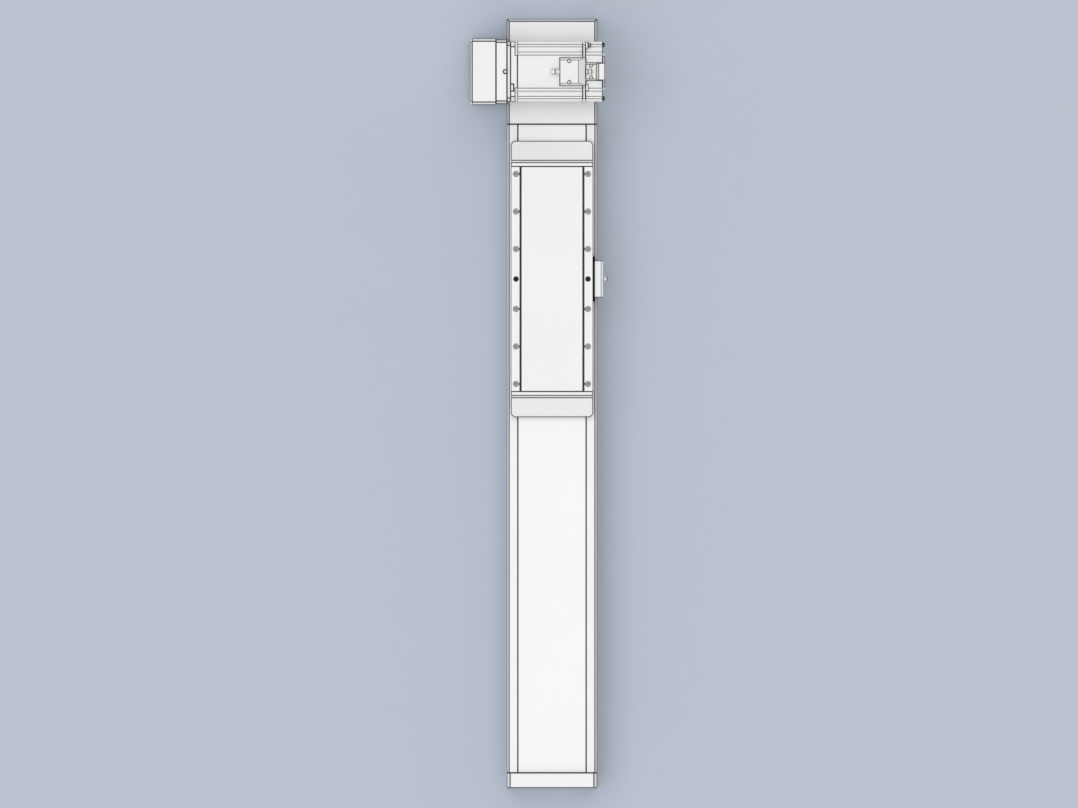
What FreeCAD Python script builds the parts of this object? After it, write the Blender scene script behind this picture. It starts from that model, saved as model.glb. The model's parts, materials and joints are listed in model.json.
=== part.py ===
import FreeCAD, Part
import math
import os
from collections import namedtuple

# Belt-driven linear actuator. A carriage runs on two rails inside an aluminium profile and is
# pulled by a toothed belt, which a servo motor drives through a small side belt.
# X runs across, Y along the travel with the drive head at +Y, and Z up. The origin is the
# middle of the flat mounting face under the body. All sizes are in millimetres.

Vector = FreeCAD.Vector

# Flat sides that stand in for a full circle on small screws, and on holes, bearings and flanges
small_sides = 8
medium_sides = 20

# Travel of the carriage, towards the tail, and the room left at its ends
stroke = 450.0
overrun = 10.0
bumper_gap = 0.5
head_gap = 22.5
tail_gap = 24.5

# Lengths along Y
table_length = 300.0
end_frame_length = 5.3
seal_length = 2.7
end_cap_length = 26.0
head_length = 140.0
tail_length = 20.0

# Section of the profile
body_width = 120.0
body_height = 80.0
body_chamfer = 2.7
floor_height = 18.0
side_wall = 6.5
shoulder_drop = 23.0
shoulder_rise = 3.0
upper_wall = 16.0
lip_height = 8.0
lip_wall = 19.0
side_panel_depth = 1.0
side_panel_low = 22.0
side_panel_drop = 24.0
chamber_width = 24.0
chamber_low = 4.0
chamber_roof = 5.0
rail_ridge_width = 3.0
rail_ridge_height = 2.0

# T-slots: two in each side and two in the floor
side_slot_mouth = 6.2
side_slot_neck = 3.0
side_slot_pocket = 11.0
upper_slot_depth = 8.5
upper_slot_drop = 13.5
lower_slot_depth = 10.0
lower_slot_z = 9.0
floor_slot_mouth = 8.2
floor_slot_neck = 4.0
floor_slot_pocket = 14.5
floor_slot_depth = 10.0
floor_slot_x = 22.0
slot_corner = 1.5

# Cover strip and the magnets that hold it down
strip_inset = 14.7
strip_thickness = 0.5
strip_side_gap = 0.3
strip_recess = 0.6
strip_tail_hold = 10.0
strip_head_hold = 20.0
magnet_width = 3.4
magnet_height = 1.5
clamp_bar_height = 3.0
clamp_bar_length = 7.0

# Rails and their blocks
rail_width = 15.0
rail_height = 15.0
rail_waist = 1.3
rail_end_gap = 4.0
rail_bevel = 1.0
screw_head = 7.0
screw_head_height = 4.0
screw_recess = 4.6
block_width = 34.0
block_side_gap = 1.5
block_bevel = 2.0
block_steel_length = 39.4
block_cap_length = 11.0
block_cap_inset = 0.4
block_ground_gap = 4.3
block_end_inset = 50.0
rail_clearance = 0.3

# Carriage
saddle_drop = 24.0
saddle_plate = 10.0
saddle_step = 4.4
saddle_edge = 8.0
neck_gap = 1.0
neck_wall = 11.0
tunnel_height = 20.0
tunnel_bevel = 3.0
idler_notch_gap = 5.5
table_inset = 5.3
table_gap = 1.5
table_floor = 4.5
table_height = 22.5
channel_height = 2.5
channel_side_gap = 1.0
cover_inset = 13.4
cover_thickness = 3.0
cover_ledge = 1.35
cover_groove = 1.35
payload_x = 48.0
payload_rows = 3
payload_pitch = 50.0
payload_end_inset = 10.0
payload_bore = 6.8
payload_depth = 14.0
dowel_bore = 6.0
dowel_depth = 8.0
end_frame_inset = 0.3
seal_inset = 0.8
seal_gap = 0.3
cap_gap = 1.0
cap_drop = 2.0
cap_slope = 10.0
cap_corner = 4.0
cap_lip = 0.2
cap_screw_inset = 4.2
shoe_side_gap = 1.0
shoe_depth = 5.5
shoe_gap = 0.4
shoe_short = 4.0

# Sensor dog on the right side of the carriage
dog_length = 60.0
dog_thickness = 2.0
dog_base_height = 14.0
dog_leg_length = 49.0
dog_leg_reach = 13.4
dog_leg_below = 11.0
dog_drop = 34.0
dog_bend = 2.1
dog_inner_bend = 0.4
dog_screw_spread = 44.0
dog_button_diameter = 7.0
dog_button_height = 6.0
dog_button_bevel = 1.2
dog_button_drop = 8.0
dog_screw_head = 5.5
dog_screw_height = 2.0

# Main belt, its pulleys and their shafts
drive_setback = 70.0
belt_rise = 16.5
idler_tail_gap = 1.0
flange_thickness = 2.0
flange_rise = 1.0
flange_gap = 0.5
mesh_gap = 0.35
clamped_teeth = 4
clamp_inset = 25.0
clamp_width = 34.0
clamp_press_gap = 0.06
shaft_diameter = 20.0
shaft_end_inset = 0.5
shaft_hub_inset = 1.0
running_gap = 0.08
seat_gap = 0.05
bearing_outer = 42.0
bearing_width = 12.0
hub_diameter = 26.0
bearing_cap_diameter = 60.0
bearing_cap_thickness = 12.0
pulley_side_gap = 1.5
pulley_room_gap = 4.0
pulley_floor_gap = 0.9
idler_bearing_share = 1.1
idler_axle_share = 0.47
idler_arm_thickness = 6.5
idler_arm_gap = 1.5
idler_arm_height = 26.0
idler_arm_reach = 8.5
idler_web_thickness = 5.0
idler_web_gap = 0.9
tension_screw_x = 14.0
bumper_diameter = 9.6
bumper_inset = 11.0

# Head and tail
head_cover_height = 8.0
tail_chamfer = 4.0
frame_screw_head = 8.5
frame_screw_height = 5.0
frame_screw_recess = 6.0
tension_shank = 5.0
tail_screw_inset = 7.5
tail_screw_drop = 4.0
tail_screw_low_inset = 16.0
strip_pocket_gap = 0.1
screw_clearance = 0.25

# Side belt box
side_driven_teeth = 20
side_motor_teeth = 12
side_belt_teeth = 38
side_hub_gap = 1.8
side_hub_margin = 2.5
side_base_thickness = 14.7
side_box_reach = 44.0
side_base_inset = 0.7
side_cover_gap = 4.8
side_cover_wall = 3.0
side_corner = 3.3
side_base_corner = 4.1
side_cover_bevel = 2.7
side_bore = 26.0
tension_head = 6.0
tension_head_height = 3.0
tension_head_inset = 2.4

# Motor, measured from its mounting face
motor_square = 80.0
adapter_width = 70.4
adapter_thickness = 4.7
motor_ear_thickness = 6.3
motor_flange_thickness = 9.2
motor_flange_chamfer = 6.7
motor_body_length = 87.1
motor_bracket_length = 3.6
encoder_length = 22.9
motor_flat = 22.0
motor_ridge = 26.0
motor_ridge_drop = 2.0
motor_valley = 33.0
motor_valley_drop = 4.6
motor_corner = 4.0
bracket_chamfer = 3.0
rear_cap_length = 3.2
rear_cap_square = 48.0
motor_shaft_diameter = 19.0
motor_shaft_length = 45.0
motor_shaft_depth = 5.0
motor_shaft_room = 0.5
rear_screw_offset = 35.9
rear_screw_head = 6.4
rear_screw_height = 3.0
rear_screw_bevel = 1.4
terminal_offset = 35.2
terminal_width = 8.8
terminal_length = 3.7
terminal_height = 5.0
terminal_screw = 6.6
terminal_screw_length = 3.4
pad_offset = 21.3
pad_width = 9.3
pad_length = 4.2
pad_height = 1.0

# Connectors on top of the motor
power_start = 66.0
power_length = 33.9
power_width = 36.8
power_height = 20.0
power_side = 3.0
power_slope = 9.4
power_drop = 9.0
power_screw_along = 12.4
power_screw_side = 14.1
connector_screw_head = 5.2
connector_screw_height = 2.4
connector_boss = 5.8
gland_diameter = 6.7
gland_length = 6.7
gland_height = 11.0
plug_length = 6.7
plug_diameter = 6.4
plug_bevel = 2.0
encoder_plug_start = 100.0
encoder_plug_length = 26.0
encoder_plug_width = 22.8
encoder_plug_base = 8.0
encoder_plug_height = 19.0
encoder_plug_body = 8.7
encoder_plug_slope = 2.7
encoder_plug_step = 1.3
encoder_plug_skirt = 5.0
encoder_plug_screw_along = 7.5
encoder_plug_screw_side = 7.8
encoder_gland_length = 10.0
encoder_gland_gap = 0.6

BeltProfile = namedtuple("BeltProfile", "pitch width tooth root tip land back")
main_belt_profile = BeltProfile(pitch=10.0, width=32.0, tooth=2.5, root=6.5, tip=4.2, land=0.925, back=1.575)
side_belt_profile = BeltProfile(pitch=8.0, width=20.0, tooth=2.1, root=5.2, tip=3.4, land=0.8, back=1.1)

# Stations along Y
carriage_length = table_length + 2 * (end_frame_length + seal_length + end_cap_length)
profile_length = head_gap + carriage_length + stroke + tail_gap
overall_length = tail_length + profile_length + head_length
tail_end_y = -overall_length / 2
tail_joint_y = tail_end_y + tail_length
head_joint_y = tail_joint_y + profile_length
head_end_y = head_joint_y + head_length
carriage_y = head_joint_y - head_gap - carriage_length / 2
table_head_y = carriage_y + table_length / 2
table_tail_y = carriage_y - table_length / 2
drive_y = head_end_y - drive_setback

# Heights and half widths that several pieces share
half_body = body_width / 2
strip_width = body_width - 2 * strip_inset
strip_low = body_height - strip_recess
strip_top = strip_low + strip_thickness
half_strip = strip_width / 2
half_recess = half_strip + strip_side_gap
lip_x = half_body - lip_wall
lip_low = body_height - lip_height
magnet_x = half_recess - strip_side_gap
neck_width = 2 * (lip_x - neck_gap)
rail_x = half_body - side_wall - block_side_gap - block_width / 2
rail_low = floor_height
rail_top = rail_low + rail_height
block_low = rail_low + block_ground_gap
saddle_width = 2 * rail_x + block_width
saddle_top = body_height - saddle_drop
saddle_low = saddle_top - saddle_plate
block_spread = table_length - 2 * block_end_inset
shoe_width = neck_width - 2 * shoe_side_gap
table_low = body_height + table_gap
table_top = table_low + table_height
channel_floor = table_low + table_floor
channel_top = channel_floor + channel_height
strip_lift = channel_floor + shoe_gap - strip_low
half_channel = half_strip + channel_side_gap
half_table = half_body - table_inset
cover_width = 2 * (half_table - cover_inset)
head_top = body_height + head_cover_height
pocket_top = strip_top + clamp_bar_height + strip_pocket_gap
cap_low_z = body_height + cap_gap
cap_high_z = table_top - cap_drop
cap_nose_z = cap_high_z - cap_slope
cap_screw_z = (cap_low_z + cap_nose_z) / 2
dog_leg_z = table_top - dog_leg_below
end_length = end_frame_length + seal_length + end_cap_length

# Main belt drive
upper_pitch_z = saddle_top + belt_rise
rim_rise = main_belt_profile.back + flange_rise
largest_radius = (upper_pitch_z - floor_height - pulley_floor_gap - rim_rise) / 2
drive_teeth = math.floor(2 * math.pi * largest_radius / main_belt_profile.pitch)
drive_radius = drive_teeth * main_belt_profile.pitch / (2 * math.pi)
idler_bearing_outer = idler_bearing_share * drive_radius
idler_axle_diameter = idler_axle_share * drive_radius
flange_radius = drive_radius + rim_rise
idler_web_reach = flange_radius + idler_web_gap + idler_web_thickness
belt_span = drive_y - tail_joint_y - idler_web_reach - idler_tail_gap
centre_distance = main_belt_profile.pitch * math.floor(belt_span / main_belt_profile.pitch)
idler_y = drive_y - centre_distance
idler_web_y = idler_y - idler_web_reach
tail_seat_y = tail_end_y + frame_screw_recess
drive_z = upper_pitch_z - drive_radius
flange_x = main_belt_profile.width / 2 + flange_gap
pulley_half = flange_x + flange_thickness
pulley_room_width = 2 * (pulley_half + pulley_side_gap)
saddle_last_y = table_tail_y - stroke - overrun
idler_notch_depth = idler_y + flange_radius + idler_notch_gap - saddle_last_y
bearing_x = half_body - bearing_cap_thickness - bearing_width
clamp_length = clamped_teeth * main_belt_profile.pitch
head_run = table_head_y - clamp_inset - clamp_length
tail_run = table_tail_y + clamp_inset + clamp_length
head_run_pitches = math.ceil((drive_y - head_run) / main_belt_profile.pitch)
tail_run_pitches = math.ceil((tail_run - idler_y) / main_belt_profile.pitch)
belt_head_end = drive_y - head_run_pitches * main_belt_profile.pitch
belt_tail_end = idler_y + tail_run_pitches * main_belt_profile.pitch


def solve_centre(belt_length, large, small):
    """Centre distance of two pulleys from the length of the belt around them."""
    near = large + small
    far = belt_length
    while far - near > 1e-9:
        middle = (near + far) / 2
        lean = math.asin((large - small) / middle)
        length = 2 * middle * math.cos(lean) + large * (math.pi + 2 * lean) + small * (math.pi - 2 * lean)
        if length > belt_length:
            far = middle
        else:
            near = middle
    return near


# Side belt drive
side_driven_radius = side_driven_teeth * side_belt_profile.pitch / (2 * math.pi)
side_motor_radius = side_motor_teeth * side_belt_profile.pitch / (2 * math.pi)
side_belt_length = side_belt_teeth * side_belt_profile.pitch
side_centre = solve_centre(side_belt_length, side_driven_radius, side_motor_radius)
motor_z = drive_z + side_centre
side_lean = math.asin((side_driven_radius - side_motor_radius) / side_centre)
side_base_x = -half_body - side_base_thickness
side_hub_near = side_base_x - side_hub_gap
side_hub_far = side_hub_near - side_belt_profile.width - 2 * side_hub_margin
side_belt_x = (side_hub_near + side_hub_far) / 2
side_cover_x = side_hub_far - side_cover_gap - side_cover_wall
side_box_low = drive_z - side_box_reach
side_box_high = motor_z + side_box_reach
motor_face_x = -half_body + adapter_thickness
motor_top = motor_z + motor_square / 2


def place_point(axis, station, a, b):
    """Point of a section that lies across an axis: (y, z), (x, z) or (x, y) at a station."""
    if axis == "x":
        return Vector(station, a, b)
    if axis == "y":
        return Vector(a, station, b)
    return Vector(a, b, station)


def section_wire(corners, axis, station):
    """Closed outline through corners (a, b) or (a, b, radius), where a radius rounds the corner."""
    turns = []
    for index, corner in enumerate(corners):
        here = Vector(corner[0], corner[1], 0)
        radius = corner[2] if len(corner) > 2 else 0.0
        if radius <= 0:
            turns.append((here, None, here))
            continue
        previous = corners[index - 1]
        following = corners[(index + 1) % len(corners)]
        back = (Vector(previous[0], previous[1], 0) - here).normalize()
        ahead = (Vector(following[0], following[1], 0) - here).normalize()
        half_angle = back.getAngle(ahead) / 2
        reach = radius / math.tan(half_angle)
        inward = (back + ahead).normalize()
        crown = here + inward * (radius / math.sin(half_angle) - radius)
        turns.append((here + back * reach, crown, here + ahead * reach))
    edges = []
    for index, (start, crown, end) in enumerate(turns):
        following = turns[(index + 1) % len(turns)][0]
        points = [place_point(axis, station, p.x, p.y) for p in (start, crown or start, end, following)]
        if crown:
            edges.append(Part.Arc(points[0], points[1], points[2]).toShape())
        if points[2].distanceToPoint(points[3]) > 1e-7:
            edges.append(Part.LineSegment(points[2], points[3]).toShape())
    return Part.Wire(edges)


def prism(corners, axis, start, end):
    """Solid with one section all the way between two stations on an axis."""
    face = Part.Face(section_wire(corners, axis, start))
    return face.extrude(place_point(axis, end - start, 0, 0))


def box(x0, x1, y0, y1, z0, z1):
    return Part.makeBox(x1 - x0, y1 - y0, z1 - z0, Vector(x0, y0, z0))


def rod(diameter, axis, start, end, a, b):
    """Round bar along an axis between two stations, centred at (a, b) of the section."""
    direction = place_point(axis, 1 if end > start else -1, 0, 0)
    return Part.makeCylinder(diameter / 2, abs(end - start), place_point(axis, start, a, b), direction)


def ring_corners(diameter, sides, a, b):
    """Corners of a regular polygon that stands in for a small circle."""
    turns = [2 * math.pi * (n + 0.5) / sides for n in range(sides)]
    return [(a + diameter / 2 * math.cos(turn), b + diameter / 2 * math.sin(turn)) for turn in turns]


def domed_stud(diameter, start, end, bevel, y, z, sides=medium_sides):
    """Small bar along X whose free end is bevelled all round."""
    bar = stud(diameter, "x", start, end, y, z, sides)
    rim = [edge for edge in bar.Edges if abs(edge.BoundBox.XMin - end) + abs(edge.BoundBox.XMax - end) < 0.01]
    return bar.makeChamfer(bevel, rim)


def stud(diameter, axis, start, end, a, b, sides=small_sides):
    """Small round bar or hole with few flat sides, for what repeats often."""
    return prism(ring_corners(diameter, sides, a, b), axis, start, end)


def bore(diameter, axis, start, end, a, b):
    """Cutter with flat sides that just clears a round bar of this diameter."""
    return stud(diameter / math.cos(math.pi / medium_sides), axis, start, end, a, b, medium_sides)


def bearing_ring(outer, inner, start, end, y):
    """Closed ring that stands for a ball bearing on a shaft of the main belt."""
    ring = stud(outer, "x", start, end, y, drive_z, medium_sides)
    return ring.cut(bore(inner + 2 * running_gap, "x", start, end, y, drive_z))


def mirrored(corners):
    """Corners of one half of a section, completed with their mirror image across a = 0."""
    other = [(-corner[0],) + tuple(corner[1:]) for corner in reversed(corners)]
    return list(corners) + other


def rectangle(a, b, width, height, radius=0.0):
    """Corners of a rectangle centred at (a, b)."""
    half_a = width / 2
    half_b = height / 2
    return [
        (a - half_a, b - half_b, radius),
        (a + half_a, b - half_b, radius),
        (a + half_a, b + half_b, radius),
        (a - half_a, b + half_b, radius),
    ]


def both_sides(shape):
    """The shape and its mirror image across the middle plane of the body."""
    return [shape, shape.mirror(Vector(0, 0, 0), Vector(1, 0, 0))]


def both_ends(shape):
    """The shape and its mirror image across the middle of the carriage."""
    return [shape, at_tail_end(shape)]


def at_tail_end(shape):
    return shape.mirror(Vector(0, carriage_y, 0), Vector(0, 1, 0))


def cap_screw(head, head_height, axis, seat, outward, a, b):
    """Round screw head that stands on a seat and points outward."""
    return stud(head, axis, seat, seat + outward * head_height, a, b)


# Toothed belts: a path is a chain of straight runs and clockwise wraps in the (y, z) plane,
# and inward is the side of the pulleys.
Run = namedtuple("Run", "start heading length")
Wrap = namedtuple("Wrap", "centre radius start_angle length")


def path_point(path, distance, inward):
    """Point at a distance along the pitch line of a belt, moved towards the pulleys."""
    piece = path[0]
    for piece in path:
        if distance <= piece.length + 1e-9:
            break
        distance -= piece.length
    if isinstance(piece, Run):
        along = Vector(math.cos(piece.heading), math.sin(piece.heading), 0)
        side = Vector(along.y, -along.x, 0)
        return piece.start + along * distance + side * inward
    angle = piece.start_angle - distance / piece.radius
    reach = piece.radius - inward
    return piece.centre + Vector(math.cos(angle), math.sin(angle), 0) * reach


def tooth_corners(profile, gap=0.0):
    """Half width and depth of the corners of one tooth, at its root and at its tip."""
    root = (profile.root / 2 + gap, profile.land + gap)
    tip = (profile.tip / 2 + gap, profile.land + profile.tooth + gap)
    return root, tip


def tooth_row(path, profile, count):
    """Points along the toothed side of a belt."""
    root, tip = tooth_corners(profile)
    points = []
    for n in range(count):
        middle = (n + 0.5) * profile.pitch
        points.append(path_point(path, middle - root[0], root[1]))
        points.append(path_point(path, middle - tip[0], tip[1]))
        points.append(path_point(path, middle + tip[0], tip[1]))
        points.append(path_point(path, middle + root[0], root[1]))
    return points


def back_edges(path, profile, station):
    """Edges along the smooth back of a belt."""
    edges = []
    for piece in path:
        stops = [path_point([piece], piece.length * share, -profile.back) for share in (0.0, 0.5, 1.0)]
        start, middle, end = [Vector(station, stop.x, stop.y) for stop in stops]
        if isinstance(piece, Run):
            edges.append(Part.LineSegment(start, end).toShape())
        else:
            edges.append(Part.Arc(start, middle, end).toShape())
    return edges


def straight_edges(points, station):
    spots = [Vector(station, point.x, point.y) for point in points]
    return [Part.LineSegment(a, b).toShape() for a, b in zip(spots, spots[1:])]


def toothed_wheel(profile, teeth, centre, phase, near, far):
    """Pulley body along X, with a gap between its teeth at the phase angle."""
    radius = teeth * profile.pitch / (2 * math.pi)
    wrap = [Wrap(centre, radius, phase, 2 * math.pi * radius)]
    root, tip = tooth_corners(profile, mesh_gap)
    points = []
    for n in range(teeth):
        middle = (n + 0.5) * profile.pitch
        points.append(path_point(wrap, middle - root[0], root[1]))
        points.append(path_point(wrap, middle - tip[0], tip[1]))
        points.append(path_point(wrap, middle + tip[0], tip[1]))
        points.append(path_point(wrap, middle + root[0], root[1]))
    points.append(points[0])
    face = Part.Face(Part.Wire(straight_edges(points, near)))
    return face.extrude(Vector(far - near, 0, 0))


# Frame of the actuator
def slot_section(mouth, neck, pocket, depth):
    """Half section of a T-slot as (across, inward), from outside the face to its floor."""
    return [
        (mouth / 2, -1.0),
        (mouth / 2, neck),
        (pocket / 2, neck),
        (pocket / 2, depth - slot_corner),
        (pocket / 2 - slot_corner, depth),
    ]


def slot_cutters():
    upper = mirrored(slot_section(side_slot_mouth, side_slot_neck, side_slot_pocket, upper_slot_depth))
    lower = mirrored(slot_section(side_slot_mouth, side_slot_neck, side_slot_pocket, lower_slot_depth))
    floor = mirrored(slot_section(floor_slot_mouth, floor_slot_neck, floor_slot_pocket, floor_slot_depth))
    right = [(half_body - inward, body_height - upper_slot_drop + across) for across, inward in upper]
    right_low = [(half_body - inward, lower_slot_z + across) for across, inward in lower]
    bottom = [(floor_slot_x + across, inward) for across, inward in floor]
    cutters = []
    for corners in (right, right_low, bottom):
        cutters += both_sides(prism(corners, "y", tail_joint_y, head_joint_y))
    return cutters


def tail_screw_places():
    upper = (half_body - tail_screw_inset, body_height - tail_screw_drop)
    lower = (half_body - tail_screw_low_inset, floor_height / 2)
    return [(side * x, z) for x, z in (upper, lower) for side in (1, -1)]


def body_extrusion():
    inner_rail_x = rail_x - rail_width / 2
    shoulder_z = body_height - shoulder_drop
    half = [
        (half_body, 0),
        (half_body, body_height - body_chamfer),
        (half_body - body_chamfer, body_height),
        (half_recess, body_height),
        (half_recess, strip_low),
        (magnet_x, strip_low),
        (magnet_x, strip_low - magnet_height),
        (magnet_x - magnet_width, strip_low - magnet_height),
        (magnet_x - magnet_width, strip_low),
        (lip_x, strip_low),
        (lip_x, lip_low),
        (half_body - upper_wall, lip_low),
        (half_body - upper_wall, shoulder_z + shoulder_rise),
        (half_body - side_wall, shoulder_z),
        (half_body - side_wall, floor_height),
        (inner_rail_x, floor_height),
        (inner_rail_x, floor_height + rail_ridge_height),
        (inner_rail_x - rail_ridge_width, floor_height + rail_ridge_height),
        (inner_rail_x - rail_ridge_width, floor_height),
    ]
    body = prism(mirrored(half), "y", tail_joint_y, head_joint_y)
    panel_top = body_height - side_panel_drop
    panel_x = half_body - side_panel_depth
    panel = box(panel_x, half_body, tail_joint_y, head_joint_y, side_panel_low, panel_top)
    half_chamber = chamber_width / 2
    chamber_high = floor_height - chamber_roof
    chamber = box(-half_chamber, half_chamber, tail_joint_y, head_joint_y, chamber_low, chamber_high)
    return body.cut(slot_cutters() + both_sides(panel) + [chamber])


def magnet_strips():
    """Flexible magnets in the lips of the profile, on both sides of its long opening."""
    low = strip_low - magnet_height
    strip = box(magnet_x - magnet_width, magnet_x, tail_joint_y, head_joint_y, low, strip_low)
    return Part.makeCompound(both_sides(strip))


def lift_path(start_y, end_y, low, high, toward):
    """Two equal arcs, each tangent to the flat, that lift a line from low to high."""
    run = abs(end_y - start_y)
    rise = high - low
    radius = (run * run + rise * rise) / (4 * rise)
    turn = math.atan2(rise, run)
    first = (start_y + toward * radius * math.sin(turn), low + radius * (1 - math.cos(turn)))
    middle = ((start_y + end_y) / 2, (low + high) / 2)
    second = (end_y - toward * radius * math.sin(turn), high - radius * (1 - math.cos(turn)))
    return [(start_y, low), first, middle, second, (end_y, high)]


def lift_edges(points):
    spots = [Vector(0, y, z) for y, z in points]
    return [
        Part.Arc(spots[0], spots[1], spots[2]).toShape(),
        Part.Arc(spots[2], spots[3], spots[4]).toShape(),
    ]


def centred_slab(wire, width):
    """Solid of a (y, z) outline, spread evenly to both sides of the middle plane."""
    slab = Part.Face(wire).extrude(Vector(width, 0, 0))
    slab.translate(Vector(-width / 2, 0, 0))
    return slab


def cover_strip():
    """Steel band over the long opening, lifted over the floor of the carriage table."""
    tail_start = carriage_y - table_length / 2 - end_length
    head_start = carriage_y + table_length / 2 + end_length
    high = strip_low + strip_lift
    edges = []
    for side in (0.0, strip_thickness):
        rise = lift_path(tail_start, table_tail_y, strip_low + side, high + side, 1)
        fall = lift_path(head_start, table_head_y, strip_low + side, high + side, -1)
        tail_tip = Vector(0, tail_joint_y - strip_tail_hold, strip_low + side)
        head_tip = Vector(0, head_joint_y + strip_head_hold, strip_low + side)
        edges.append(Part.LineSegment(tail_tip, Vector(0, *rise[0])).toShape())
        edges += lift_edges(rise)
        edges.append(Part.LineSegment(Vector(0, *rise[-1]), Vector(0, *fall[-1])).toShape())
        edges += lift_edges(fall)
        edges.append(Part.LineSegment(Vector(0, *fall[0]), head_tip).toShape())
    for tip_y in (tail_joint_y - strip_tail_hold, head_joint_y + strip_head_hold):
        edges.append(Part.LineSegment(Vector(0, tip_y, strip_low), Vector(0, tip_y, strip_top)).toShape())
    return centred_slab(Part.Wire(Part.__sortEdges__(edges)), strip_width)


def strip_clamps():
    """Bars that press the two ends of the cover strip down."""
    bars = []
    for toward, joint_y, hold in ((1, head_joint_y, strip_head_hold), (-1, tail_joint_y, strip_tail_hold)):
        far = joint_y + toward * (hold - 1)
        near = far - toward * clamp_bar_length
        bars.append(box(-half_strip, half_strip, min(near, far), max(near, far), strip_top,
                        strip_top + clamp_bar_height))
    return Part.makeCompound(bars)


def head_housing():
    """Block that carries the drive shaft, with a room for the pulley that opens to the top."""
    body = box(-half_body, half_body, head_joint_y, head_end_y, 0, body_height)
    half_room = pulley_room_width / 2
    room_end = drive_y + flange_radius + pulley_room_gap
    room_floor = drive_z - flange_radius - pulley_room_gap
    cap_seat = half_body - bearing_cap_thickness
    cutters = [
        box(-half_room, half_room, head_joint_y, room_end, room_floor, body_height),
        box(-half_recess, half_recess, head_joint_y, head_joint_y + strip_head_hold, strip_low, body_height),
        stud(bearing_outer + 2 * seat_gap, "x", -half_body, half_body, drive_y, drive_z, medium_sides),
        stud(bearing_cap_diameter + 2 * seat_gap, "x", cap_seat, half_body, drive_y, drive_z, medium_sides),
    ]
    return body.cut(cutters)


def head_cover():
    """Lid of the drive head, bevelled along its sides and its outer end."""
    half = [
        (half_body, body_height),
        (half_body, head_top - body_chamfer),
        (half_body - body_chamfer, head_top),
    ]
    lid = prism(mirrored(half), "y", head_joint_y, head_end_y)
    bevel = [
        (head_end_y - body_chamfer, head_top),
        (head_end_y, head_top - body_chamfer),
        (head_end_y + 1, head_top - body_chamfer),
        (head_end_y + 1, head_top + 1),
        (head_end_y - body_chamfer, head_top + 1),
    ]
    pocket_end = head_joint_y + strip_head_hold
    cutters = [
        prism(bevel, "x", -half_body, half_body),
        box(-half_recess, half_recess, head_joint_y + 2, pocket_end, body_height, pocket_top),
    ]
    return lid.cut(cutters)


def tail_block():
    """End plate that closes the profile and holds the end of the cover strip in a pocket."""
    half = [
        (half_body, 0),
        (half_body, head_top - tail_chamfer),
        (half_body - tail_chamfer, head_top),
    ]
    block = prism(mirrored(half), "y", tail_end_y, tail_joint_y)
    pocket_start = tail_joint_y - strip_tail_hold
    cutters = [box(-half_recess, half_recess, pocket_start, tail_joint_y, strip_low, pocket_top)]
    head = frame_screw_head + 2 * screw_clearance
    for x, z in tail_screw_places() + tension_screw_places():
        cutters.append(stud(head, "y", tail_end_y, tail_seat_y, x, z))
    for x, z in tension_screw_places():
        cutters.append(stud(tension_shank + 2 * screw_clearance, "y", tail_end_y, tail_joint_y, x, z))
    return block.cut(cutters)


def tension_screw_places():
    return [(-tension_screw_x, drive_z), (tension_screw_x, drive_z)]


def tail_screws():
    return Part.makeCompound([frame_screw(x, z) for x, z in tail_screw_places()])


def frame_screw(x, z):
    """Head of a screw in the outer face of the tail block."""
    return cap_screw(frame_screw_head, frame_screw_height, "y", tail_seat_y, -1, x, z)


def tension_screws():
    """Two long screws through the tail block that pull the idler bracket and tighten the belt."""
    tip = idler_web_y + idler_web_thickness
    screws = []
    for x, z in tension_screw_places():
        screws.append(frame_screw(x, z).fuse(stud(tension_shank, "y", tail_seat_y, tip, x, z)))
    return Part.makeCompound(screws)


def bumper_ends():
    """Free end of each bumper and the face of the end piece that carries it."""
    head = table_head_y + overrun + bumper_gap
    tail = table_tail_y - stroke - overrun - bumper_gap
    return [(head, head_joint_y), (tail, tail_joint_y)]


def bumpers():
    """Rubber buffers that stop the saddle at both ends of its travel."""
    z = saddle_low + saddle_plate / 2
    right = saddle_width / 2 - bumper_inset
    return Part.makeCompound([
        stud(bumper_diameter, "y", tip, wall, x, z) for tip, wall in bumper_ends() for x in (-right, right)
    ])


# Guide
def rail(side):
    """Waisted steel rail along one side of the cavity."""
    half = rail_width / 2
    right = [
        (half, rail_low),
        (half, rail_low + rail_height * 0.3),
        (half - rail_waist, rail_low + rail_height * 0.4),
        (half - rail_waist, rail_low + rail_height * 0.6),
        (half, rail_low + rail_height * 0.7),
        (half, rail_top - rail_bevel),
        (half - rail_bevel, rail_top),
    ]
    corners = [(side * rail_x + a, b) for a, b in mirrored(right)]
    return prism(corners, "y", tail_joint_y + rail_end_gap, head_joint_y - rail_end_gap)


def block_section(side, inset):
    """Section of a guide block astride its rail."""
    half = block_width / 2 - inset
    slot = rail_width / 2 + rail_clearance
    right = [
        (slot, rail_top + rail_clearance),
        (slot, block_low + inset),
        (half, block_low + inset),
        (half, saddle_low - inset - block_bevel),
        (half - block_bevel, saddle_low - inset),
    ]
    return [(side * rail_x + a, b) for a, b in mirrored(right)]


def guide_block(side, end):
    """Steel body of one guide block."""
    half = block_steel_length / 2
    middle = carriage_y + end * block_spread / 2
    return prism(block_section(side, 0.0), "y", middle - half, middle + half)


def block_end_caps():
    caps = []
    for side in (-1, 1):
        for end in (-1, 1):
            middle = carriage_y + end * block_spread / 2
            for toward in (-1, 1):
                near = middle + toward * block_steel_length / 2
                far = near + toward * block_cap_length
                caps.append(prism(block_section(side, block_cap_inset), "y", near, far))
    return Part.makeCompound(caps)


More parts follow.
